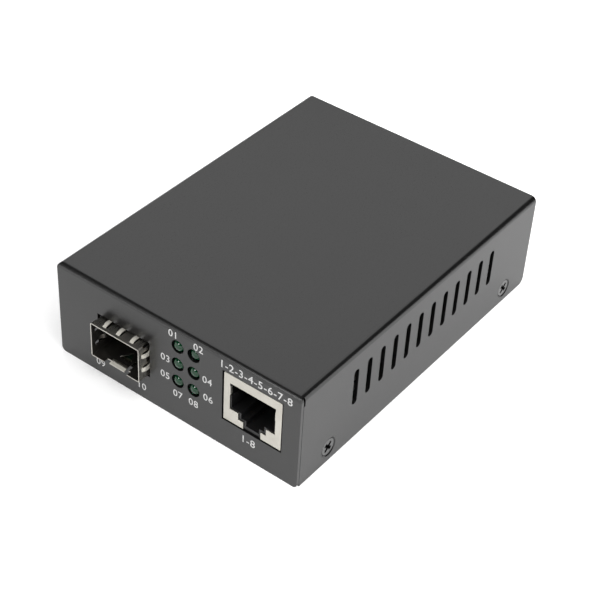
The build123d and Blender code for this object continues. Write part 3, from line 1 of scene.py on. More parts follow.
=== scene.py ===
"""Dresses a packed fibre media converter: its paint, metal, plastic, lamps and print, and a plain studio.

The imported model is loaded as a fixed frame. Each sub-assembly is a class that copies or builds its meshes
in metres in that frame, lays a finish on them and lets them ride on their body.

Frame: origin in the middle of the underside, +X to the right as seen from the front, +Y to the rear, +Z up.
"""

import logging
import math
from dataclasses import dataclass
from enum import Enum, IntEnum
from functools import cache
from typing import Iterable, Optional, Sequence

import bmesh
import bpy
from mathutils import Matrix, Vector

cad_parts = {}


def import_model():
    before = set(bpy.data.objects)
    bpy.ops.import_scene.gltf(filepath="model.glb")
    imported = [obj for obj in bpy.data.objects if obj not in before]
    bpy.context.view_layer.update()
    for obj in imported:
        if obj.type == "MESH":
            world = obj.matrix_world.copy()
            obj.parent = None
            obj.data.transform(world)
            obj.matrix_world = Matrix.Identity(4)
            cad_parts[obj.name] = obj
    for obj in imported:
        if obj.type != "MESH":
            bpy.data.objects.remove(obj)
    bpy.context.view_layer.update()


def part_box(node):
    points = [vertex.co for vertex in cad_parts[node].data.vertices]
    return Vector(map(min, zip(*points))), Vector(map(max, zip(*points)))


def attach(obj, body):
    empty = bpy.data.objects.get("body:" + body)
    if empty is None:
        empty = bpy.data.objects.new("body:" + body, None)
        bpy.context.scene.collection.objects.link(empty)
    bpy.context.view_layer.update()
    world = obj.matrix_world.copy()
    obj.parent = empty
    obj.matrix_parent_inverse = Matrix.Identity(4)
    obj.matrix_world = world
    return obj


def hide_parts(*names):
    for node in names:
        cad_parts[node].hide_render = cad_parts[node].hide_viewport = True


LOG = logging.getLogger("media_converter")

MM = 0.001
WELD = 0.002 * MM
FLAT_ANGLE = math.radians(0.4)
ARC_ANGLE = math.radians(32.0)
FULL_TURN = 2.0 * math.pi
QUARTER_TURN = 0.5 * math.pi
WAVE_TURN = 20.0  # radians of a wave pattern for each unit of its scale
WHITE = (1.0, 1.0, 1.0, 1.0)

Colour = tuple[float, float, float]
Axes = tuple[float, float, float]
Outline = Sequence[tuple[float, float]]


class Body(Enum):
    """The bodies that pieces ride on."""

    CASE = "case"
    LEFT_KNOB = "left_actuator"
    MIDDLE_KNOB = "middle_actuator"
    RIGHT_KNOB = "right_actuator"


class Panel(Enum):
    """The panel that a print stands on, as the sign of its outward Y."""

    FRONT = -1
    REAR = 1

    def turn(self) -> Matrix:
        """The turn that stands a flat print up against this panel, readable from outside."""
        outward = float(self.value)
        return Matrix(((-outward, 0.0, 0.0), (0.0, 0.0, outward), (0.0, 1.0, 0.0))).to_4x4()


class FaceAndShadeOrEdge(IntEnum):
    """The finishes of a piece whose faces differ from its painted shade in recesses and rims, or from its
    bare cut edges, by their material slot.
    """

    FACE = 0
    # Painted shade on the cover screws and in the jack's mouth; bare cut edges on the board.
    REST = 1


class CageMetal(IntEnum):
    """The finishes of the transceiver cage, by the number of their material slot."""

    SHEET = 0
    SPRING = 1
    # Painted shade inside the tunnel.
    INSIDE = 2


class CanSkin(IntEnum):
    """The finishes of a capacitor's can, by the number of their material slot."""

    SLEEVE = 0
    STRIPE = 1
    TOP = 2


class MixSocket(IntEnum):
    """Sockets of a colour mix by number, because its sockets for numbers and vectors have the same names."""

    SHARE = 0
    RESULT = 2
    FIRST = 6
    SECOND = 7


class NodeBench:
    """Lays out and joins the nodes of one procedural material."""

    def __init__(self, name: str) -> None:
        """Starts a material with a plain shader and its object coordinates.

        Args:
            name: the material's name.
        """
        self.material = bpy.data.materials.new(name)
        self.material.use_nodes = True
        self.tree = self.material.node_tree
        self.shader = self.tree.nodes["Principled BSDF"]
        self.place = self.tree.nodes.new("ShaderNodeTexCoord").outputs["Object"]

    def fix(self, values: dict[str, object]) -> None:
        """Sets constants on the shader's own sockets, by the sockets' names."""
        for socket, value in values.items():
            self.shader.inputs[socket].default_value = value

    def feed(self, source: bpy.types.NodeSocket, socket: str) -> None:
        """Joins an output to a socket of the shader."""
        self.tree.links.new(source, self.shader.inputs[socket])

    def stretched(self, scale: Axes) -> bpy.types.NodeSocket:
        """Adds a mapping that squeezes a pattern along each axis.

        Args:
            scale: how many times finer the pattern gets along X, Y and Z.

        Returns:
            The mapped coordinates.
        """
        mapping = self.tree.nodes.new("ShaderNodeMapping")
        mapping.inputs["Scale"].default_value = scale
        self.tree.links.new(self.place, mapping.inputs["Vector"])
        return mapping.outputs["Vector"]

    def noise(
        self,
        size: float,
        detail: float = 2.0,
        place: Optional[bpy.types.NodeSocket] = None,
    ) -> bpy.types.NodeSocket:
        """Adds a soft noise pattern.

        Args:
            size: width of one blotch, in metres.
            detail: how many finer layers it has.
            place: coordinates, or none for the object's own.

        Returns:
            The pattern's value output.
        """
        pattern = self.tree.nodes.new("ShaderNodeTexNoise")
        pattern.inputs["Scale"].default_value = 1.0 / size
        pattern.inputs["Detail"].default_value = detail
        self.tree.links.new(place or self.place, pattern.inputs["Vector"])
        return pattern.outputs["Fac"]

    def bands(self, size: float, axis: str) -> bpy.types.NodeSocket:
        """Adds straight bands.

        Args:
            size: width of one band and its gap, in metres.
            axis: the axis that the bands step along.

        Returns:
            The pattern's value output.
        """
        pattern = self.tree.nodes.new("ShaderNodeTexWave")
        pattern.bands_direction = axis
        pattern.inputs["Scale"].default_value = FULL_TURN / (WAVE_TURN * size)
        self.tree.links.new(self.place, pattern.inputs["Vector"])
        return pattern.outputs["Fac"]

    def reach(self, spot: Axes) -> bpy.types.NodeSocket:
        """Measures how far each point lies from a spot.

        Args:
            spot: the place to measure from, in metres.

        Returns:
            The distance, in metres.
        """
        distance = self.tree.nodes.new("ShaderNodeVectorMath")
        distance.operation = "DISTANCE"
        distance.inputs[1].default_value = spot
        self.tree.links.new(self.place, distance.inputs[0])
        return distance.outputs["Value"]

    def in_sight(self) -> bpy.types.NodeSocket:
        """Tells a surface that is seen, also in gloss or through glass, from one that only lights others.

        Returns:
            1 where it is seen, and 0 where it isn't.
        """
        path = self.tree.nodes.new("ShaderNodeLightPath")
        mirrored = self.sum(path.outputs["Is Glossy Ray"], path.outputs["Is Transmission Ray"])
        return self.sum(path.outputs["Is Camera Ray"], mirrored)

    def span(
        self,
        source: bpy.types.NodeSocket,
        low: float,
        high: float,
        start: float = 0.3,
        stop: float = 0.7,
    ) -> bpy.types.NodeSocket:
        """Maps a pattern to a range.

        Args:
            source: the pattern.
            low: value where the pattern is at start.
            high: value where the pattern is at stop.
            start: the pattern's value that maps to low.
            stop: the pattern's value that maps to high.

        Returns:
            The mapped value.
        """
        span = self.tree.nodes.new("ShaderNodeMapRange")
        span.inputs["From Min"].default_value = start
        span.inputs["From Max"].default_value = stop
        span.inputs["To Min"].default_value = low
        span.inputs["To Max"].default_value = high
        self.tree.links.new(source, span.inputs["Value"])
        return span.outputs["Result"]

    def blend(self, share: bpy.types.NodeSocket, first: Colour, second: Colour) -> bpy.types.NodeSocket:
        """Blends two colours.

        Args:
            share: how much of the second colour shows.
            first: colour at a share of 0.
            second: colour at a share of 1.

        Returns:
            The blended colour.
        """
        mix = self.tree.nodes.new("ShaderNodeMix")
        mix.data_type = "RGBA"
        mix.inputs[MixSocket.FIRST].default_value = (*first, 1.0)
        mix.inputs[MixSocket.SECOND].default_value = (*second, 1.0)
        self.tree.links.new(share, mix.inputs[MixSocket.SHARE])
        return mix.outputs[MixSocket.RESULT]

    def sum(self, first: bpy.types.NodeSocket, second: bpy.types.NodeSocket) -> bpy.types.NodeSocket:
        """Adds two patterns.

        Args:
            first: one pattern.
            second: the other pattern.

        Returns:
            Their sum.
        """
        total = self.tree.nodes.new("ShaderNodeMath")
        total.operation = "ADD"
        for socket, pattern in zip(total.inputs, (first, second)):
            self.tree.links.new(pattern, socket)
        return total.outputs["Value"]

    def halves(self, first: bpy.types.NodeSocket, second: bpy.types.NodeSocket) -> bpy.types.NodeSocket:
        """Puts two patterns together, half of each."""
        return self.sum(self.span(first, 0.0, 0.5), self.span(second, 0.0, 0.5))

    def relief(self, height: bpy.types.NodeSocket, depth: float) -> None:
        """Gives the shader a fine relief.

        Args:
            height: the pattern whose high places stand up.
            depth: height of the relief where the pattern goes from 0 to 1, in metres.
        """
        bump = self.tree.nodes.new("ShaderNodeBump")
        bump.inputs["Strength"].default_value = 1.0
        bump.inputs["Distance"].default_value = depth
        self.tree.links.new(height, bump.inputs["Height"])
        self.feed(bump.outputs["Normal"], "Normal")


@dataclass(frozen=True)
class Finish:
    """A surface that pieces are dressed in. Each kind of finish fills in its own nodes."""

    name: str

    def material(self) -> bpy.types.Material:
        """Makes the finish's material once, under a name apart from the frame's own materials.

        Returns:
            The material.
        """
        title = f"{self.name}_surface"
        found = bpy.data.materials.get(title)
        if found:
            return found
        bench = NodeBench(title)
        self.lay(bench)
        return bench.material

    def lay(self, bench: NodeBench) -> None:
        """Fills in the nodes of the finish."""
        raise NotImplementedError

    def rub(self, bench: NodeBench, pattern: bpy.types.NodeSocket, roughness: float, spread: float) -> None:
        """Lets the roughness follow a pattern, by up to its spread to either side."""
        bench.feed(bench.span(pattern, roughness - spread, roughness + spread), "Roughness")


@dataclass(frozen=True)
class PowderCoat(Finish):
    """Satin powder coat: a faint orange peel, a fine grain and slow changes of tone."""

    colour: Colour = (0.0035, 0.0035, 0.0035)
    pale: Colour = (0.0060, 0.0060, 0.0060)
    roughness: float = 0.30
    spread: float = 0.03
    index: float = 1.58
    peel_size: float = 0.55 * MM
    grain_size: float = 0.14 * MM
    cloud_size: float = 14.0 * MM
    depth: float = 0.003 * MM
    grain_share: float = 0.08

    def lay(self, bench: NodeBench) -> None:
        """Sets the tone, gloss and relief of the coat.

        Args:
            bench: the material's nodes.
        """
        cloud = bench.noise(self.cloud_size, detail=4.0)
        grain = bench.noise(self.grain_size, detail=3.0)
        peel = bench.noise(self.peel_size)
        bench.feed(bench.blend(bench.halves(cloud, grain), self.colour, self.pale), "Base Color")
        self.rub(bench, grain, self.roughness, self.spread)
        bench.fix({"IOR": self.index})
        bench.relief(bench.sum(peel, bench.span(grain, 0.0, self.grain_share)), self.depth)


@dataclass(frozen=True)
class PlatedSheet(Finish):
    """Plated or bare sheet metal: fine streaks along its rolling direction and dull patches."""

    colour: Colour = (0.60, 0.59, 0.57)
    dull: Colour = (0.50, 0.49, 0.47)
    roughness: float = 0.30
    spread: float = 0.07
    metal: float = 1.0
    streaks: Axes = (0.08, 1.0, 1.0)
    streak_size: float = 0.12 * MM
    patch_size: float = 4.0 * MM
    depth: float = 0.0006 * MM

    def lay(self, bench: NodeBench) -> None:
        """Sets the tone, gloss and streaks of the metal.

        Args:
            bench: the material's nodes.
        """
        streak = bench.noise(self.streak_size, place=bench.stretched(self.streaks))
        patch = bench.noise(self.patch_size, detail=4.0)
        bench.feed(bench.blend(bench.span(patch, 0.0, 1.0), self.colour, self.dull), "Base Color")
        smooth, rough = self.roughness - self.spread, self.roughness + self.spread
        bench.feed(bench.span(bench.halves(patch, streak), smooth, rough, 0.0, 1.0), "Roughness")
        bench.fix({"Metallic": self.metal})
        bench.relief(streak, self.depth)


@dataclass(frozen=True)
class MouldedPlastic(Finish):
    """Moulded plastic: a spark-eroded grain and a slight change of tone."""

    colour: Colour = (0.0045, 0.0045, 0.0048)
    pale: Colour = (0.0070, 0.0070, 0.0074)
    roughness: float = 0.40
    spread: float = 0.06
    index: float = 1.46
    grain_size: float = 0.10 * MM
    flow_size: float = 3.0 * MM
    depth: float = 0.0012 * MM

    def lay(self, bench: NodeBench) -> None:
        """Sets the tone, gloss and grain of the plastic.

        Args:
            bench: the material's nodes.
        """
        flow = bench.noise(self.flow_size, detail=3.0)
        grain = bench.noise(self.grain_size, detail=3.0)
        bench.feed(bench.blend(bench.span(flow, 0.0, 1.0), self.colour, self.pale), "Base Color")
        self.rub(bench, grain, self.roughness, self.spread)
        bench.fix({"IOR": self.index})
        bench.relief(grain, self.depth)


@dataclass(frozen=True)
class TintedLens(Finish):
    """Clear tinted epoxy of an indicator lamp."""

    colour: Colour = (0.003, 0.050, 0.018)
    deep: Colour = (0.002, 0.038, 0.014)
    swirl_size: float = 0.9 * MM
    roughness: float = 0.075
    spread: float = 0.015
    transmission: float = 0.20
    index: float = 1.46
    depth: float = 0.002 * MM

    def lay(self, bench: NodeBench) -> None:
        """Sets the tint, swirl and skin of the lens.

        Args:
            bench: the material's nodes.
        """
        swirl = bench.noise(self.swirl_size)
        bench.feed(bench.blend(bench.span(swirl, 0.0, 1.0), self.colour, self.deep), "Base Color")
        self.rub(bench, swirl, self.roughness, self.spread)
        bench.fix({"IOR": self.index, "Transmission Weight": self.transmission})
        bench.relief(swirl, self.depth)


@dataclass(frozen=True)
class SolderMask(Finish):
    """Lacquered laminate: the weave of its glass cloth shows faintly under a green mask."""

    colour: Colour = (0.0010, 0.0070, 0.0034)
    pale: Colour = (0.0018, 0.0115, 0.0055)
    weave_size: float = 0.45 * MM
    weave_share: float = 0.4
    cloud_size: float = 6.0 * MM
    roughness: float = 0.33
    spread: float = 0.05
    index: float = 1.5
    lacquer: float = 0.3
    lacquer_roughness: float = 0.2
    depth: float = 0.006 * MM

    def lay(self, bench: NodeBench) -> None:
        """Sets the tone, weave and lacquer of the mask.

        Args:
            bench: the material's nodes.
        """
        weave = bench.sum(bench.bands(self.weave_size, "X"), bench.bands(self.weave_size, "Y"))
        cloud = bench.noise(self.cloud_size, detail=4.0)
        clouded = bench.span(cloud, 0.0, 1.0 - self.weave_share)
        tone = bench.sum(clouded, bench.span(weave, 0.0, self.weave_share, 0.0, 2.0))
        bench.feed(bench.blend(tone, self.colour, self.pale), "Base Color")
        self.rub(bench, cloud, self.roughness, self.spread)
        bench.fix(
            {"IOR": self.index, "Coat Weight": self.lacquer, "Coat Roughness": self.lacquer_roughness}
        )
        bench.relief(weave, self.depth)


@dataclass(frozen=True)
class PrintInk(Finish):
    """Pad-printed ink: thin, a little uneven and matt."""

    colour: Colour = (0.66, 0.66, 0.65)
    thin: Colour = (0.50, 0.50, 0.50)
    patch_size: float = 0.35 * MM
    roughness: float = 0.56
    spread: float = 0.06
    depth: float = 0.002 * MM

    def lay(self, bench: NodeBench) -> None:
        """Sets the cover and gloss of the ink.

        Args:
            bench: the material's nodes.
        """
        patch = bench.noise(self.patch_size, detail=3.0)
        bench.feed(bench.blend(bench.span(patch, 0.0, 1.0), self.colour, self.thin), "Base Color")
        self.rub(bench, patch, self.roughness, self.spread)
        bench.relief(patch, self.depth)


@dataclass(frozen=True)
class StudioSweep(Finish):
    """The pale matt sheet that the object stands on, with painted shade near its near left, a painted glow
    that grows away from there, and an even lift where it is seen.
    """

    # colour is the painted shade near the spot; bright is the sheet's own tone far from it.
    colour: Colour = (0.72, 0.72, 0.72)
    bright: Colour = (0.93, 0.93, 0.93)
    cloud_size: float = 90.0 * MM
    cloud_share: float = 0.15
    shade_start: float = 25.0 * MM
    shade_stop: float = 110.0 * MM
    # Where the painted shade is deepest, and the place that the painted glow grows away from.
    painted_shade_spot: Axes = (-60.0 * MM, -60.0 * MM, 0.0)
    glow_start: float = 70.0 * MM
    glow_stop: float = 350.0 * MM
    glow: float = 0.75
    shown_glow: float = 0.30
    roughness: float = 0.9
    sheen_level: float = 0.1

    def lay(self, bench: NodeBench) -> None:
        """Sets the sheet's tone with its painted shade, and its painted glow.

        Args:
            bench: the material's nodes.
        """
        distance = bench.reach(self.painted_shade_spot)
        cloud = bench.span(bench.noise(self.cloud_size, detail=3.0), 0.0, self.cloud_share)
        # Painted shade: the sheet is darker near the spot and pales to its own tone away from it.
        shade = bench.span(distance, 0.0, 1.0 - self.cloud_share, self.shade_start, self.shade_stop)
        bench.feed(bench.blend(bench.sum(cloud, shade), self.colour, self.bright), "Base Color")
        # Painted glow: the sheet gives off light that grows with its distance from the spot.
        away = bench.span(distance, 0.0, self.glow, self.glow_start, self.glow_stop)
        shown = bench.span(bench.in_sight(), 0.0, self.shown_glow, 0.0, 1.0)
        bench.feed(bench.sum(away, shown), "Emission Strength")
        bench.fix(
            {"Roughness": self.roughness, "Specular IOR Level": self.sheen_level, "Emission Color": WHITE}
        )


COVER_PAINT = PowderCoat("cover_paint")
TRAY_PAINT = PowderCoat("tray_paint", roughness=0.32)
BLACK_STEEL = PlatedSheet("black_steel", (0.150, 0.150, 0.150), (0.125, 0.125, 0.125), roughness=0.24)
# Near-black steel that stands for painted shade: at the cover screws' rims and recesses, and inside the
# network jack's mouth.
PAINTED_SHADE_STEEL = PlatedSheet("painted_shade_steel", (0.012, 0.012, 0.012), (0.008, 0.008, 0.008), roughness=0.45)
ZINC_STEEL = PlatedSheet("zinc_steel", (0.62, 0.63, 0.64), (0.50, 0.51, 0.53), roughness=0.30)
BOARD_MASK = SolderMask("board_mask")
BOARD_EDGE = MouldedPlastic("board_edge", (0.030, 0.032, 0.018), (0.045, 0.046, 0.026), roughness=0.7)
CAGE_METAL = PlatedSheet(
    "cage_metal",
    (0.60, 0.58, 0.53),
    (0.46, 0.44, 0.40),
    roughness=0.30,
    spread=0.08,
    streaks=(1.0, 0.08, 1.0),
)
# Darkened cage metal that stands for painted shade inside the tunnel.
CAGE_PAINTED_SHADE = PlatedSheet("cage_painted_shade", (0.21, 0.20, 0.18), (0.14, 0.13, 0.12), roughness=0.38)
SPRING_METAL = PlatedSheet("spring_metal", (0.66, 0.64, 0.57), (0.58, 0.56, 0.50), roughness=0.50, metal=0.55)
JACK_METAL = PlatedSheet("jack_metal", (0.57, 0.55, 0.50), (0.50, 0.48, 0.43), roughness=0.36)
BLACK_PLASTIC = MouldedPlastic("black_plastic")
SWITCH_PLASTIC = MouldedPlastic("switch_plastic", (0.014, 0.014, 0.015), (0.022, 0.022, 0.023), roughness=0.5)
KNOB_PLASTIC = MouldedPlastic("knob_plastic", (0.70, 0.70, 0.67), (0.78, 0.78, 0.75), roughness=0.45)
GOLD = PlatedSheet("gold_contacts", (0.78, 0.55, 0.22), (0.70, 0.48, 0.18), roughness=0.22)
TIN = PlatedSheet("tinned_metal", (0.62, 0.62, 0.60), (0.52, 0.52, 0.50), roughness=0.34)
LENS = TintedLens("lamp_lens")
ENAMELLED_COPPER = PlatedSheet("winding_copper", (0.52, 0.20, 0.08), (0.40, 0.14, 0.05), roughness=0.28)
CAN_SLEEVE = MouldedPlastic("can_sleeve", (0.010, 0.012, 0.020), (0.015, 0.018, 0.028), roughness=0.30)
CAN_STRIPE = MouldedPlastic("can_stripe", (0.45, 0.47, 0.50), (0.52, 0.54, 0.57), roughness=0.35)
CHIP_EPOXY = MouldedPlastic("chip_epoxy", (0.018, 0.018, 0.019), (0.026, 0.026, 0.027), roughness=0.55)
FERRITE = MouldedPlastic("ferrite", (0.030, 0.030, 0.032), (0.045, 0.045, 0.047), roughness=0.6)
CERAMIC = MouldedPlastic("chip_ceramic", (0.30, 0.24, 0.17), (0.36, 0.29, 0.21), roughness=0.5)
INK = PrintInk("panel_ink")
SWEEP = StudioSweep("studio_sweep")


@cache
def node_box(node: str) -> tuple[Vector, Vector]:
    """Lowest and highest corner of a CAD node at rest, in metres, looked up once."""
    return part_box(node)


def new_object(name: str, shape: bmesh.types.BMesh) -> bpy.types.Object:
    """Makes an object at the origin from a shape, and frees the shape.

    Args:
        name: name of the object and its mesh.
        shape: the finished shape.

    Returns:
        The object, linked to the scene.
    """
    mesh = bpy.data.meshes.new(name)
    shape.to_mesh(mesh)
    shape.free()
    made = bpy.data.objects.new(name, mesh)
    bpy.context.scene.collection.objects.link(made)
    return made


def shade_by_angle(shape: bmesh.types.BMesh) -> None:
    """Shades arcs smooth and keeps the real edges sharp.

    Args:
        shape: the shape to shade.
    """
    for face in shape.faces:
        face.smooth = True
    for edge in shape.edges:
        edge.smooth = len(edge.link_faces) == 2 and edge.calc_face_angle() < ARC_ANGLE


def soften_edges(piece: bpy.types.Object, width: float, segments: int = 2) -> None:
    """Rounds a piece's sharp edges a little and evens out its shading.

    Args:
        piece: the mesh object.
        width: width of the rounding, in metres.
        segments: faces across the rounding.
    """
    bevel = piece.modifiers.new("edge_break", "BEVEL")
    bevel.width = width
    bevel.segments = segments
    bevel.limit_method = "ANGLE"
    bevel.angle_limit = ARC_ANGLE
    bevel.use_clamp_overlap = True
    bevel.harden_normals = True
    weights = piece.modifiers.new("even_shading", "WEIGHTED_NORMAL")
    weights.keep_sharp = True


def turned(name: str, outline: Outline, place: Matrix, steps: int = 40) -> bpy.types.Object:
    """Turns an outline round its axis into a closed piece.

    Args:
        name: name of the piece.
        outline: radius and distance along the axis of each point, from pole to pole, in metres.
        place: where the axis stands in the frame.
        steps: faces round the piece.

    Returns:
        The turned piece.
    """
    shape = bmesh.new()
    points = [shape.verts.new((radius, 0.0, along)) for radius, along in outline]
    edges = [shape.edges.new(pair) for pair in zip(points, points[1:])]
    bmesh.ops.spin(
        shape,
        geom=points + edges,
        cent=(0.0, 0.0, 0.0),
        axis=(0.0, 0.0, 1.0),
        angle=FULL_TURN,
        steps=steps,
        use_merge=True,
    )
    bmesh.ops.remove_doubles(shape, verts=shape.verts, dist=WELD)
    bmesh.ops.transform(shape, matrix=place, verts=shape.verts)
    bmesh.ops.recalc_face_normals(shape, faces=shape.faces)
    shade_by_angle(shape)
    return new_object(name, shape)


def dress(
    piece: bpy.types.Object,
    finish: Finish,
    body: Body = Body.CASE,
    stands_for: Iterable[str] = (),
) -> bpy.types.Object:
    """Lays a finish on a piece, lets it ride and hides the CAD nodes that it stands for.

    Args:
        piece: the finished mesh object.
        finish: what its surface is, unless it already has its materials.
        body: the body that it rides on.
        stands_for: CAD nodes that it is shown in place of.

    Returns:
        The piece.
    """
    if not piece.data.materials:
        piece.data.materials.append(finish.material())
    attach(piece, body.value)
    for node in stands_for:
        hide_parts(node)
    LOG.info("%s rides on %s in %s", piece.name, body.value, finish.name)
    return piece


def looks_inwards(
    face: bmesh.types.BMFace, low: Vector, high: Vector, rim_depth: float, least_turn: float = 0.2
) -> bool:
    """Tells whether a face looks into the tunnel of a socket, behind the rim of its mouth.

    Args:
        face: the face.
        low: lowest corner round the tunnel, whose axis runs along Y from there.
        high: highest corner round the tunnel.
        rim_depth: how deep the rim goes, in metres.
        least_turn: how far the face has to turn to the axis, where 1 is straight at it.

    Returns:
        True where the face turns towards the tunnel's axis.
    """
    centre = face.calc_center_median()
    to_axis = 0.5 * (low + high) - centre
    to_axis.y = 0.0
    return centre.y > low.y + rim_depth and face.normal.dot(to_axis.normalized()) > least_turn


@dataclass(frozen=True)
class CarriedPiece:
    """A CAD node that is shown as a welded copy with its edges broken.

    The copy keeps the node's shape. Loose triangles are welded and flat faces joined, so that the edge
    rounding and the shading run cleanly.
    """

    node: str
    finish: Finish
    slot: str
    edge: float = 0.05 * MM
    segments: int = 2
    body: Body = Body.CASE

    def welded(self) -> bmesh.types.BMesh:
        """Copies the node's mesh, merges its doubles and joins its flat faces.

        Returns:
            The welded shape.
        """
        shape = bmesh.new()
        shape.from_mesh(bpy.data.objects[self.node].data)
        bmesh.ops.remove_doubles(shape, verts=shape.verts, dist=WELD)
        bmesh.ops.dissolve_limit(
            shape, angle_limit=FLAT_ANGLE, verts=shape.verts, edges=shape.edges, delimit={"SHARP"}
        )
        shade_by_angle(shape)
        return shape

    def finished(self, shape: bmesh.types.BMesh, more: Iterable[Finish] = ()) -> bpy.types.Object:
        """Makes and dresses the copy from its welded shape.

        Args:
            shape: the welded shape.
            more: the finishes that come after the piece's own, by their material slot.

        Returns:
            The finished piece.
        """
        piece = new_object(f"{self.node}_finished", shape)
        for finish in (self.finish, *more):
            piece.data.materials.append(finish.material())
        if self.edge:
            soften_edges(piece, self.edge, self.segments)
        return dress(piece, self.finish, self.body, [self.node])

    def build(self) -> None:
        """Makes a copy in one finish, without the normals that came with the node."""
        mesh = self.finished(self.welded()).data
        stored = mesh.attributes.get("custom_normal")
        if stored:
            mesh.attributes.remove(stored)


@dataclass
class Enclosure:
    """The folded cover and the tray that it closes over, both powder coated."""

    edge_round: float = 0.16 * MM
    edge_faces: int = 3

    def build(self) -> None:
        """Makes the cover and the tray."""
        CarriedPiece("top_cover", COVER_PAINT, "cover_paint", self.edge_round, self.edge_faces).build()
        CarriedPiece("base_tray", TRAY_PAINT, "tray_paint", self.edge_round, self.edge_faces).build()


@dataclass
class Fasteners:
    """Cover screws, standoffs and board screws."""

    edge_round: float = 0.07 * MM
    face_depth: float = 0.03 * MM
    rim_width: float = 0.18 * MM

    def cover_screws(self) -> None:
        """Makes the cover screws, with painted shade at the rims of their heads, in their driver recesses and
        below their heads.
        """
        screws = CarriedPiece("cover_screws", BLACK_STEEL, "black_steel", edge=0.0)
        shape = screws.welded()
        face_x = node_box("cover_screws")[1].x - self.face_depth
        heads = [face for face in shape.faces if abs(face.calc_center_median().x) > face_x]
        bmesh.ops.inset_region(shape, faces=heads, thickness=self.rim_width, use_even_offset=True)
        # Painted shade: every face but the inset faces of the heads is dressed near-black, the rim ring
        # included.
        for face in shape.faces:
            face.material_index = FaceAndShadeOrEdge.REST
        for face in heads:
            face.material_index = FaceAndShadeOrEdge.FACE
        screws.finished(shape, [PAINTED_SHADE_STEEL])

    def build(self) -> None:
        """Makes every fastener."""
        self.cover_screws()
        CarriedPiece("standoffs", ZINC_STEEL, "zinc_steel", self.edge_round).build()
        CarriedPiece("board_screws", ZINC_STEEL, "zinc_steel", self.edge_round).build()


@dataclass
class TransceiverCage:
    """The sheet cage with its spring fingers, and the connector at its back."""

    sheet_edge: float = 0.05 * MM
    finger_rise: float = 0.48 * MM
    tongue_rise: float = 0.35 * MM
    tongue_half_width: float = 2.4 * MM
    ramp_end: float = 1.75 * MM
    rubbed_length: float = 1.0 * MM
    rim_depth: float = 0.25 * MM
    contact_edge: float = 0.03 * MM

    def bowed(self, spot: Vector) -> bool:
        """Tells whether a place on the cage is on one of its bowed fingers.

        Args:
            spot: the place, in metres.

        Returns:
            True above the roof or outside the walls.
        """
        low, high = node_box("cage_shell")
        return (
            spot.z > high.z - self.finger_rise
            or spot.x < low.x + self.finger_rise
            or spot.x > high.x - self.finger_rise
        )

    def on_ramp(self, spot: Vector) -> bool:
        """Tells whether a place on the cage is on the ramp at the tip of the latch tongue.

        Args:
            spot: the place, in metres.

        Returns:
            True between the tongue's tip and the foot of its ramp, on its upper side.
        """
        low, high = node_box("cage_shell")
        above_floor = spot.z - node_box("circuit_board")[1].z
        aside = abs(spot.x - 0.5 * (low.x + high.x))
        lifted = 0.0 < above_floor - self.tongue_rise < 2.0 * self.tongue_rise
        return lifted and aside < self.tongue_half_width and spot.y < low.y + self.ramp_end

    def metal(self, face: bmesh.types.BMFace) -> CageMetal:
        """Chooses the finish that a face of the cage is dressed in.

        Args:
            face: the face.

        Returns:
            The finish's number.
        """
        low, high = node_box("cage_shell")
        floor = Vector((low.x, low.y, node_box("circuit_board")[1].z))
        spot = face.calc_center_median()
        if self.on_ramp(spot):
            return CageMetal.SPRING if spot.y < low.y + self.rubbed_length else CageMetal.SHEET
        # Painted shade on the faces that look into the tunnel behind its rim.
        if looks_inwards(face, floor, high, self.rim_depth):
            return CageMetal.INSIDE
        return CageMetal.SPRING if self.bowed(spot) else CageMetal.SHEET

    def shell(self) -> None:
        """Makes the cage, rubbed matt on its springs and with painted shade on its faces inside the tunnel.
        """
        cage = CarriedPiece("cage_shell", CAGE_METAL, "cage_metal", self.sheet_edge)
        shape = cage.welded()
        ramp = [face for face in shape.faces if self.on_ramp(face.calc_center_median())]
        edges = {edge for face in ramp for edge in face.edges}
        corners = {corner for face in ramp for corner in face.verts}
        rubbed_y = node_box("cage_shell")[0].y + self.rubbed_length
        bmesh.ops.bisect_plane(
            shape,
            geom=[*ramp, *edges, *corners],
            plane_co=(0.0, rubbed_y, 0.0),
            plane_no=(0.0, 1.0, 0.0),
        )
        for face in shape.faces:
            face.material_index = self.metal(face)
        cage.finished(shape, [SPRING_METAL, CAGE_PAINTED_SHADE])

    def build(self) -> None:
        """Makes the cage, its connector and its contacts."""
        self.shell()
        CarriedPiece("edge_connector", BLACK_PLASTIC, "black_plastic").build()
        CarriedPiece("edge_contacts", GOLD, "gold_contacts", self.contact_edge, segments=1).build()


@dataclass
class NetworkJack:
    """The shielded network jack: shell, insulator and sprung wires."""

    shell_edge: float = 0.09 * MM
    body_edge: float = 0.045 * MM
    wire_edge: float = 0.08 * MM
    rim_depth: float = 0.35 * MM

    def shell(self) -> None:
        """Makes the shield, bright outside and with painted shade on the faces inside its mouth."""
        shield = CarriedPiece("jack_shell", JACK_METAL, "jack_metal", self.shell_edge)
        shape = shield.welded()
        low, high = node_box("jack_shell")
        for face in shape.faces:
            # Painted shade on the faces that look into the mouth behind its rim.
            inside = looks_inwards(face, low, high, self.rim_depth)
            face.material_index = FaceAndShadeOrEdge.REST if inside else FaceAndShadeOrEdge.FACE
        shield.finished(shape, [PAINTED_SHADE_STEEL])

    def build(self) -> None:
        """Makes the three parts of the jack."""
        self.shell()
        CarriedPiece("jack_body", BLACK_PLASTIC, "black_plastic", self.body_edge).build()
        CarriedPiece("jack_wires", GOLD, "gold_contacts", self.wire_edge).build()


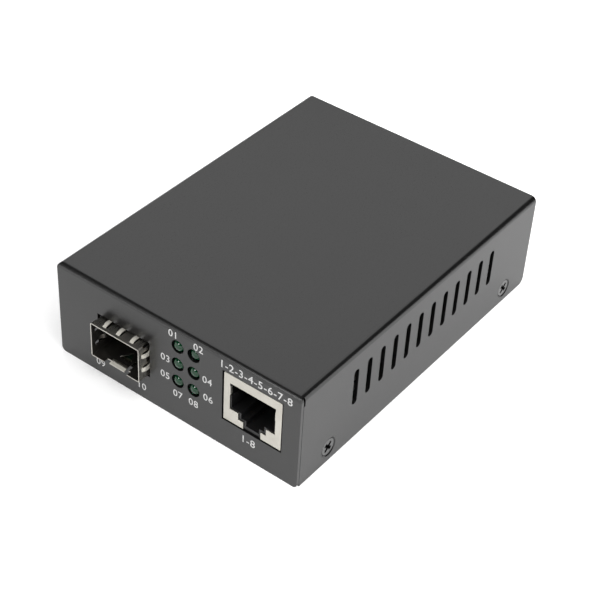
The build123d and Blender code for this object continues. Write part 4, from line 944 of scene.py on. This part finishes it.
@dataclass
class StatusLamps:
    """Six domed lamps in two columns, each a tinted lens round a small reflector cup."""

    columns: int = 2
    rows: int = 3
    lens_radius: float = 1.58 * MM
    dome_radius: float = 1.50 * MM
    flange_radius: float = 1.85 * MM
    flange_length: float = 0.8 * MM
    dome_steps: int = 10
    cup_radius: float = 0.75 * MM
    cup_wall: float = 0.12 * MM
    cup_start: float = 2.1 * MM
    cup_length: float = 1.5 * MM
    cup_floor: float = 0.55 * MM
    cup_floor_share: float = 0.45
    cup_steps: int = 24
    lead_edge: float = 0.04 * MM
    setbacks: tuple[float, ...] = (0.08 * MM, 0.42 * MM, 0.0, 0.22 * MM, 0.05 * MM, 0.16 * MM)

    def spots(self) -> list[tuple[float, float]]:
        """Works out the lamps' places from the frame's own box round them.

        Returns:
            X and Z of each lamp's axis, row by row from the top left.
        """
        low, high = node_box("status_lamps")
        step_x = (high.x - low.x - 2.0 * self.flange_radius) / (self.columns - 1)
        step_z = (high.z - low.z - 2.0 * self.flange_radius) / (self.rows - 1)
        first_x = low.x + self.flange_radius
        first_z = high.z - self.flange_radius
        return [
            (first_x + column * step_x, first_z - row * step_z)
            for row in range(self.rows)
            for column in range(self.columns)
        ]

    def lens_outline(self, length: float) -> list[tuple[float, float]]:
        """The lens from the tip of its dome to the middle of its back.

        Args:
            length: distance from tip to back, in metres.

        Returns:
            Radius and distance along the axis of each point.
        """
        crown = self.lens_radius - self.dome_radius
        arc = [
            (
                crown + self.dome_radius * math.sin(QUARTER_TURN * step / self.dome_steps),
                self.dome_radius * (1.0 - math.cos(QUARTER_TURN * step / self.dome_steps)),
            )
            for step in range(self.dome_steps + 1)
        ]
        flange_start = length - self.flange_length
        return [
            (0.0, 0.0),
            *arc,
            (self.lens_radius, flange_start),
            (self.flange_radius, flange_start),
            (self.flange_radius, length),
            (0.0, length),
        ]

    def cup_outline(self) -> list[tuple[float, float]]:
        """The reflector cup from its floor over its rim to the end of its post.

        Returns:
            Radius and distance along the axis of each point.
        """
        inner = self.cup_radius - self.cup_wall
        return [
            (0.0, self.cup_start + self.cup_floor),
            (self.cup_floor_share * inner, self.cup_start + self.cup_floor),
            (inner, self.cup_start),
            (self.cup_radius, self.cup_start),
            (self.cup_radius, self.cup_start + self.cup_length),
            (0.0, self.cup_start + self.cup_length),
        ]

    def build(self) -> None:
        """Makes the lamps, their cups, their holder and their leads."""
        low, high = node_box("status_lamps")
        for number, ((x, z), setback) in enumerate(zip(self.spots(), self.setbacks), 1):
            inward = Matrix.Translation((x, low.y + setback, z)) @ Matrix.Rotation(-QUARTER_TURN, 4, "X")
            lens = turned(f"lamp_lens_{number}", self.lens_outline(high.y - low.y - setback), inward)
            dress(lens, LENS, stands_for=["status_lamps"])
            cup = turned(f"lamp_cup_{number}", self.cup_outline(), inward, self.cup_steps)
            dress(cup, TIN)
        CarriedPiece("lamp_holder", BLACK_PLASTIC, "black_plastic").build()
        CarriedPiece("lamp_leads", TIN, "tinned_metal", self.lead_edge, segments=1).build()


@dataclass(frozen=True)
class Mark:
    """A printed line of plain numbers and where its middle stands on a panel."""

    name: str
    x: float
    z: float
    text: str
    height: float = 1.95 * MM


@dataclass
class PrintedMarks:
    """Pad-printed numbers on the front and rear panels."""

    ink_thickness: float = 0.016 * MM
    boldness: float = 0.012 * MM
    character_gap: float = 1.08
    cap_share: float = 0.72
    curve_steps: int = 4
    jack_height: float = 2.1 * MM
    switch_height: float = 1.4 * MM
    switch_drop: float = 1.6 * MM

    def print_text(self, mark: Mark) -> bmesh.types.BMesh:
        """Sets a line of text as a thin flat shape, centred on the origin.

        Args:
            mark: the text and its height.

        Returns:
            The shape, lying in the XY plane.
        """
        letters = bpy.data.curves.new(mark.name, "FONT")
        letters.body = mark.text
        letters.size = mark.height / self.cap_share
        letters.align_x = "CENTER"
        letters.align_y = "CENTER"
        letters.space_character = self.character_gap
        letters.resolution_u = self.curve_steps
        letters.offset = self.boldness
        letters.extrude = 0.5 * self.ink_thickness
        holder = bpy.data.objects.new(mark.name, letters)
        mesh = bpy.data.meshes.new_from_object(holder)
        shape = bmesh.new()
        shape.from_mesh(mesh)
        bpy.data.objects.remove(holder)
        bpy.data.curves.remove(letters)
        bpy.data.meshes.remove(mesh)
        bmesh.ops.remove_doubles(shape, verts=shape.verts, dist=0.5 * WELD)
        return shape

    def place(self, mark: Mark, panel: Panel, face_y: float) -> None:
        """Lays a mark on a panel.

        Args:
            mark: what is printed and where.
            panel: the panel that it is on.
            face_y: Y of the panel's outer face, in metres.
        """
        shape = self.print_text(mark)
        proud = face_y + panel.value * 0.5 * self.ink_thickness
        spot = Matrix.Translation((mark.x, proud, mark.z)) @ panel.turn()
        bmesh.ops.transform(shape, matrix=spot, verts=shape.verts)
        dress(new_object(mark.name, shape), INK)

    def front_marks(self) -> list[Mark]:
        """Sets out the numbers round the lamps, at the jack and under the cage.

        Returns:
            The marks, each placed from the piece that it belongs to.
        """
        (left, top), (right, _), (_, middle), _, (_, bottom), _ = StatusLamps().spots()
        jack_low, jack_high = node_box("jack_shell")
        jack_x = 0.5 * (jack_low.x + jack_high.x)
        pins_z = jack_high.z + 1.9 * MM
        range_z = jack_low.z + 0.3 * MM
        cage_low, cage_high = node_box("cage_shell")
        board_top = node_box("circuit_board")[1].z
        return [
            Mark("number_above_left", left - 1.3 * MM, top + 2.9 * MM, "01"),
            Mark("number_above_right", right + 1.3 * MM, top + 2.8 * MM, "02"),
            Mark("number_left_middle", left - 3.6 * MM, middle - 0.2 * MM, "03"),
            Mark("number_right_middle", right + 3.9 * MM, middle, "04"),
            Mark("number_left_bottom", left - 3.7 * MM, bottom - 0.2 * MM, "05"),
            Mark("number_right_bottom", right + 4.2 * MM, bottom, "06"),
            Mark("number_below_left", left, bottom - 4.0 * MM, "07"),
            Mark("number_below_right", right, bottom - 3.9 * MM, "08"),
            Mark("numbers_jack_pins", jack_x + 0.7 * MM, pins_z, "1-2-3-4-5-6-7-8", self.jack_height),
            Mark("numbers_jack_range", jack_x - 0.8 * MM, range_z, "1-8", self.jack_height),
            Mark("number_cage_left", cage_low.x + 0.4 * MM, board_top - 4.5 * MM, "09"),
            Mark("number_cage_right", cage_high.x - 2.6 * MM, board_top - 4.2 * MM, "10"),
        ]

    def rear_marks(self) -> list[Mark]:
        """Sets out the numbers of the slide switches, which count up from the left as seen from behind.

        Returns:
            The marks, one under each knob.
        """
        under = node_box("switch_housing")[0].z - self.switch_drop
        marks = []
        for number, node in enumerate(("switch_knob_right", "switch_knob_middle", "switch_knob_left"), 1):
            low, high = node_box(node)
            middle = 0.5 * (low.x + high.x)
            marks.append(Mark(f"number_switch_{number}", middle, under, str(number), self.switch_height))
        return marks

    def build(self) -> None:
        """Prints both panels."""
        front_y = node_box("top_cover")[0].y
        rear_y = node_box("base_tray")[1].y
        for mark in self.front_marks():
            self.place(mark, Panel.FRONT, front_y)
        for mark in self.rear_marks():
            self.place(mark, Panel.REAR, rear_y)


@dataclass
class PowerInlet:
    """The barrel jack in the rear panel."""

    body_edge: float = 0.12 * MM
    pin_edge: float = 0.08 * MM
    pin_edge_faces: int = 3

    def build(self) -> None:
        """Makes the jack's body, pin and spring."""
        CarriedPiece("power_body", BLACK_PLASTIC, "black_plastic", self.body_edge).build()
        CarriedPiece("power_pin", TIN, "tinned_metal", self.pin_edge, self.pin_edge_faces).build()
        CarriedPiece("power_spring", TIN, "tinned_metal").build()


@dataclass
class SlideSwitches:
    """Three small slide switches in one housing."""

    housing_edge: float = 0.08 * MM
    knob_edge: float = 0.08 * MM
    pin_edge: float = 0.03 * MM

    def build(self) -> None:
        """Makes the housing, its base and pins, and a knob on each sliding body."""
        CarriedPiece("switch_housing", SWITCH_PLASTIC, "switch_plastic", self.housing_edge).build()
        CarriedPiece("switch_base", SWITCH_PLASTIC, "switch_plastic").build()
        CarriedPiece("switch_pins", TIN, "tinned_metal", self.pin_edge, segments=1).build()
        knobs = (
            ("switch_knob_left", Body.LEFT_KNOB),
            ("switch_knob_middle", Body.MIDDLE_KNOB),
            ("switch_knob_right", Body.RIGHT_KNOB),
        )
        for node, body in knobs:
            CarriedPiece(node, KNOB_PLASTIC, "knob_plastic", self.knob_edge, body=body).build()


@dataclass
class BoardAssembly:
    """The circuit board and the parts soldered to it."""

    chip_edge: float = 0.045 * MM
    slim_edge: float = 0.02 * MM
    lead_edge: float = 0.03 * MM
    board_face_turn: float = 0.5
    can_top_turn: float = 0.9
    can_stripe_angle: float = math.radians(28.0)

    def board(self) -> None:
        """Makes the board, with bare laminate at its cut edges."""
        board = CarriedPiece("circuit_board", BOARD_MASK, "board_laminate", edge=0.0)
        for face in board.finished(board.welded(), [BOARD_EDGE]).data.polygons:
            flat = abs(face.normal.z) > self.board_face_turn
            face.material_index = FaceAndShadeOrEdge.FACE if flat else FaceAndShadeOrEdge.REST

    def cans(self) -> None:
        """Makes the capacitors, with a pale stripe down each sleeve and bare metal on top."""
        cans = CarriedPiece("storage_capacitors", CAN_SLEEVE, "can_sleeve", edge=0.0)
        for face in cans.finished(cans.welded(), [CAN_STRIPE, TIN]).data.polygons:
            if face.normal.z > self.can_top_turn:
                face.material_index = CanSkin.TOP
            elif face.normal.x < -math.cos(self.can_stripe_angle):
                face.material_index = CanSkin.STRIPE

    def build(self) -> None:
        """Makes the board and every part on it."""
        self.board()
        self.cans()
        parts = (
            CarriedPiece("converter_chip", CHIP_EPOXY, "black_plastic", self.chip_edge),
            CarriedPiece("magnetics_block", CHIP_EPOXY, "black_plastic", self.chip_edge),
            CarriedPiece("magnetics_leads", TIN, "tinned_metal", self.lead_edge, segments=1),
            CarriedPiece("crystal_can", ZINC_STEEL, "tinned_metal", self.chip_edge),
            CarriedPiece("power_chip", CHIP_EPOXY, "black_plastic", self.chip_edge),
            CarriedPiece("inductor_core", FERRITE, "black_plastic", self.chip_edge),
            CarriedPiece("inductor_winding", ENAMELLED_COPPER, "winding_copper", self.chip_edge),
            CarriedPiece("capacitor_leads", TIN, "tinned_metal", edge=0.0),
            CarriedPiece("rectifier", CHIP_EPOXY, "black_plastic", self.chip_edge),
            CarriedPiece("fuse", CERAMIC, "chip_ceramic", self.slim_edge),
            CarriedPiece("chip_parts", CERAMIC, "chip_ceramic", self.chip_edge, segments=1),
        )
        for part in parts:
            part.build()


@dataclass(frozen=True)
class SoftPanel:
    """A square soft light that faces the origin, from its reach away in the direction of its aim.

    Its radiance is the brightness of its face, where 1 is a white sheet in full light.
    """

    name: str
    aim: Axes
    reach: float
    size: float
    radiance: float

    def hang(self) -> None:
        """Adds the light to the scene."""
        light = bpy.data.lights.new(self.name, "AREA")
        light.shape = "SQUARE"
        light.size = self.size
        light.energy = self.radiance * math.pi * self.size * self.size
        holder = bpy.data.objects.new(self.name, light)
        bpy.context.scene.collection.objects.link(holder)
        outward = Vector(self.aim).normalized()
        turn = outward.to_track_quat("Z", "Y").to_matrix().to_4x4()
        holder.matrix_world = Matrix.Translation(self.reach * outward) @ turn


@dataclass
class Studio:
    """The camera, the pale floor and the soft panels of light."""

    azimuth: float = math.radians(35.384)
    elevation: float = math.radians(39.707)
    roll: float = math.radians(3.495)
    distance: float = 374.769 * MM
    offset_right: float = 0.771 * MM
    offset_up: float = 6.675 * MM
    lens: float = 93.618
    sensor: float = 36.0
    nearest: float = 10.0 * MM
    farthest: float = 100.0
    floor_radius: float = 3.0
    floor_sides: int = 96
    wall_height: float = 0.35
    floor_drop: float = 0.02 * MM
    room_level: float = 0.02
    panels: tuple[SoftPanel, ...] = (
        SoftPanel("key_panel", (0.42, -0.27, 0.87), reach=1.40, size=1.00, radiance=5.4),
        SoftPanel("rear_left_panel", (-0.33, 0.48, 0.81), reach=1.00, size=1.06, radiance=1.24),
        SoftPanel("highlight_lamp", (-0.18, -0.88, 0.45), reach=1.00, size=0.30, radiance=14.0),
    )

    def camera(self) -> None:
        """Sets up the camera at the photograph's viewing angle."""
        low, high = node_box("top_cover")
        middle = Vector((0.0, 0.0, 0.5 * (low.z + high.z)))
        back = Vector(
            (
                math.sin(self.azimuth) * math.cos(self.elevation),
                -math.cos(self.azimuth) * math.cos(self.elevation),
                math.sin(self.elevation),
            )
        )
        level_right = Vector((0.0, 0.0, 1.0)).cross(back).normalized()
        level_up = back.cross(level_right)
        right = math.cos(self.roll) * level_right + math.sin(self.roll) * level_up
        up = math.cos(self.roll) * level_up - math.sin(self.roll) * level_right
        eye = middle - self.offset_right * right - self.offset_up * up + self.distance * back
        view = bpy.data.cameras.new("camera")
        view.lens = self.lens
        view.sensor_width = self.sensor
        view.clip_start = self.nearest
        view.clip_end = self.farthest
        holder = bpy.data.objects.new("camera", view)
        bpy.context.scene.collection.objects.link(holder)
        turn = Matrix((right, up, back)).transposed().to_4x4()
        holder.matrix_world = Matrix.Translation(eye) @ turn
        bpy.context.scene.camera = holder

    def floor(self) -> None:
        """Lays the pale sheet under the object, turned up into a low wall far round it."""
        shape = bmesh.new()
        bmesh.ops.create_circle(shape, cap_ends=True, radius=self.floor_radius, segments=self.floor_sides)
        wall = bmesh.ops.extrude_edge_only(shape, edges=shape.edges[:])
        brim = [part for part in wall["geom"] if isinstance(part, bmesh.types.BMVert)]
        bmesh.ops.translate(shape, vec=(0.0, 0.0, self.wall_height), verts=brim)
        drop = Matrix.Translation((0.0, 0.0, -self.floor_drop))
        bmesh.ops.transform(shape, matrix=drop, verts=shape.verts)
        sheet = new_object("floor", shape)
        sheet.data.materials.append(SWEEP.material())

    def lights(self) -> None:
        """Hangs the panels and sets the level of the room."""
        for panel in self.panels:
            panel.hang()
        world = bpy.data.worlds.new("room")
        world.use_nodes = True
        room = world.node_tree.nodes["Background"]
        room.inputs["Color"].default_value = WHITE
        room.inputs["Strength"].default_value = self.room_level
        bpy.context.scene.world = world

    def build(self) -> None:
        """Sets the whole studio up."""
        self.camera()
        self.floor()
        self.lights()
        bpy.context.scene.view_settings.view_transform = "Standard"


def main() -> None:
    """Loads the frame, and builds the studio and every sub-assembly."""
    logging.basicConfig(level=logging.INFO, format="%(name)s: %(message)s")
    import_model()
    assemblies = (
        Studio(),
        Enclosure(),
        Fasteners(),
        TransceiverCage(),
        NetworkJack(),
        StatusLamps(),
        PrintedMarks(),
        PowerInlet(),
        SlideSwitches(),
        BoardAssembly(),
    )
    for assembly in assemblies:
        assembly.build()
        LOG.info("%s is built", type(assembly).__name__)


if __name__ == "__main__":
    main()
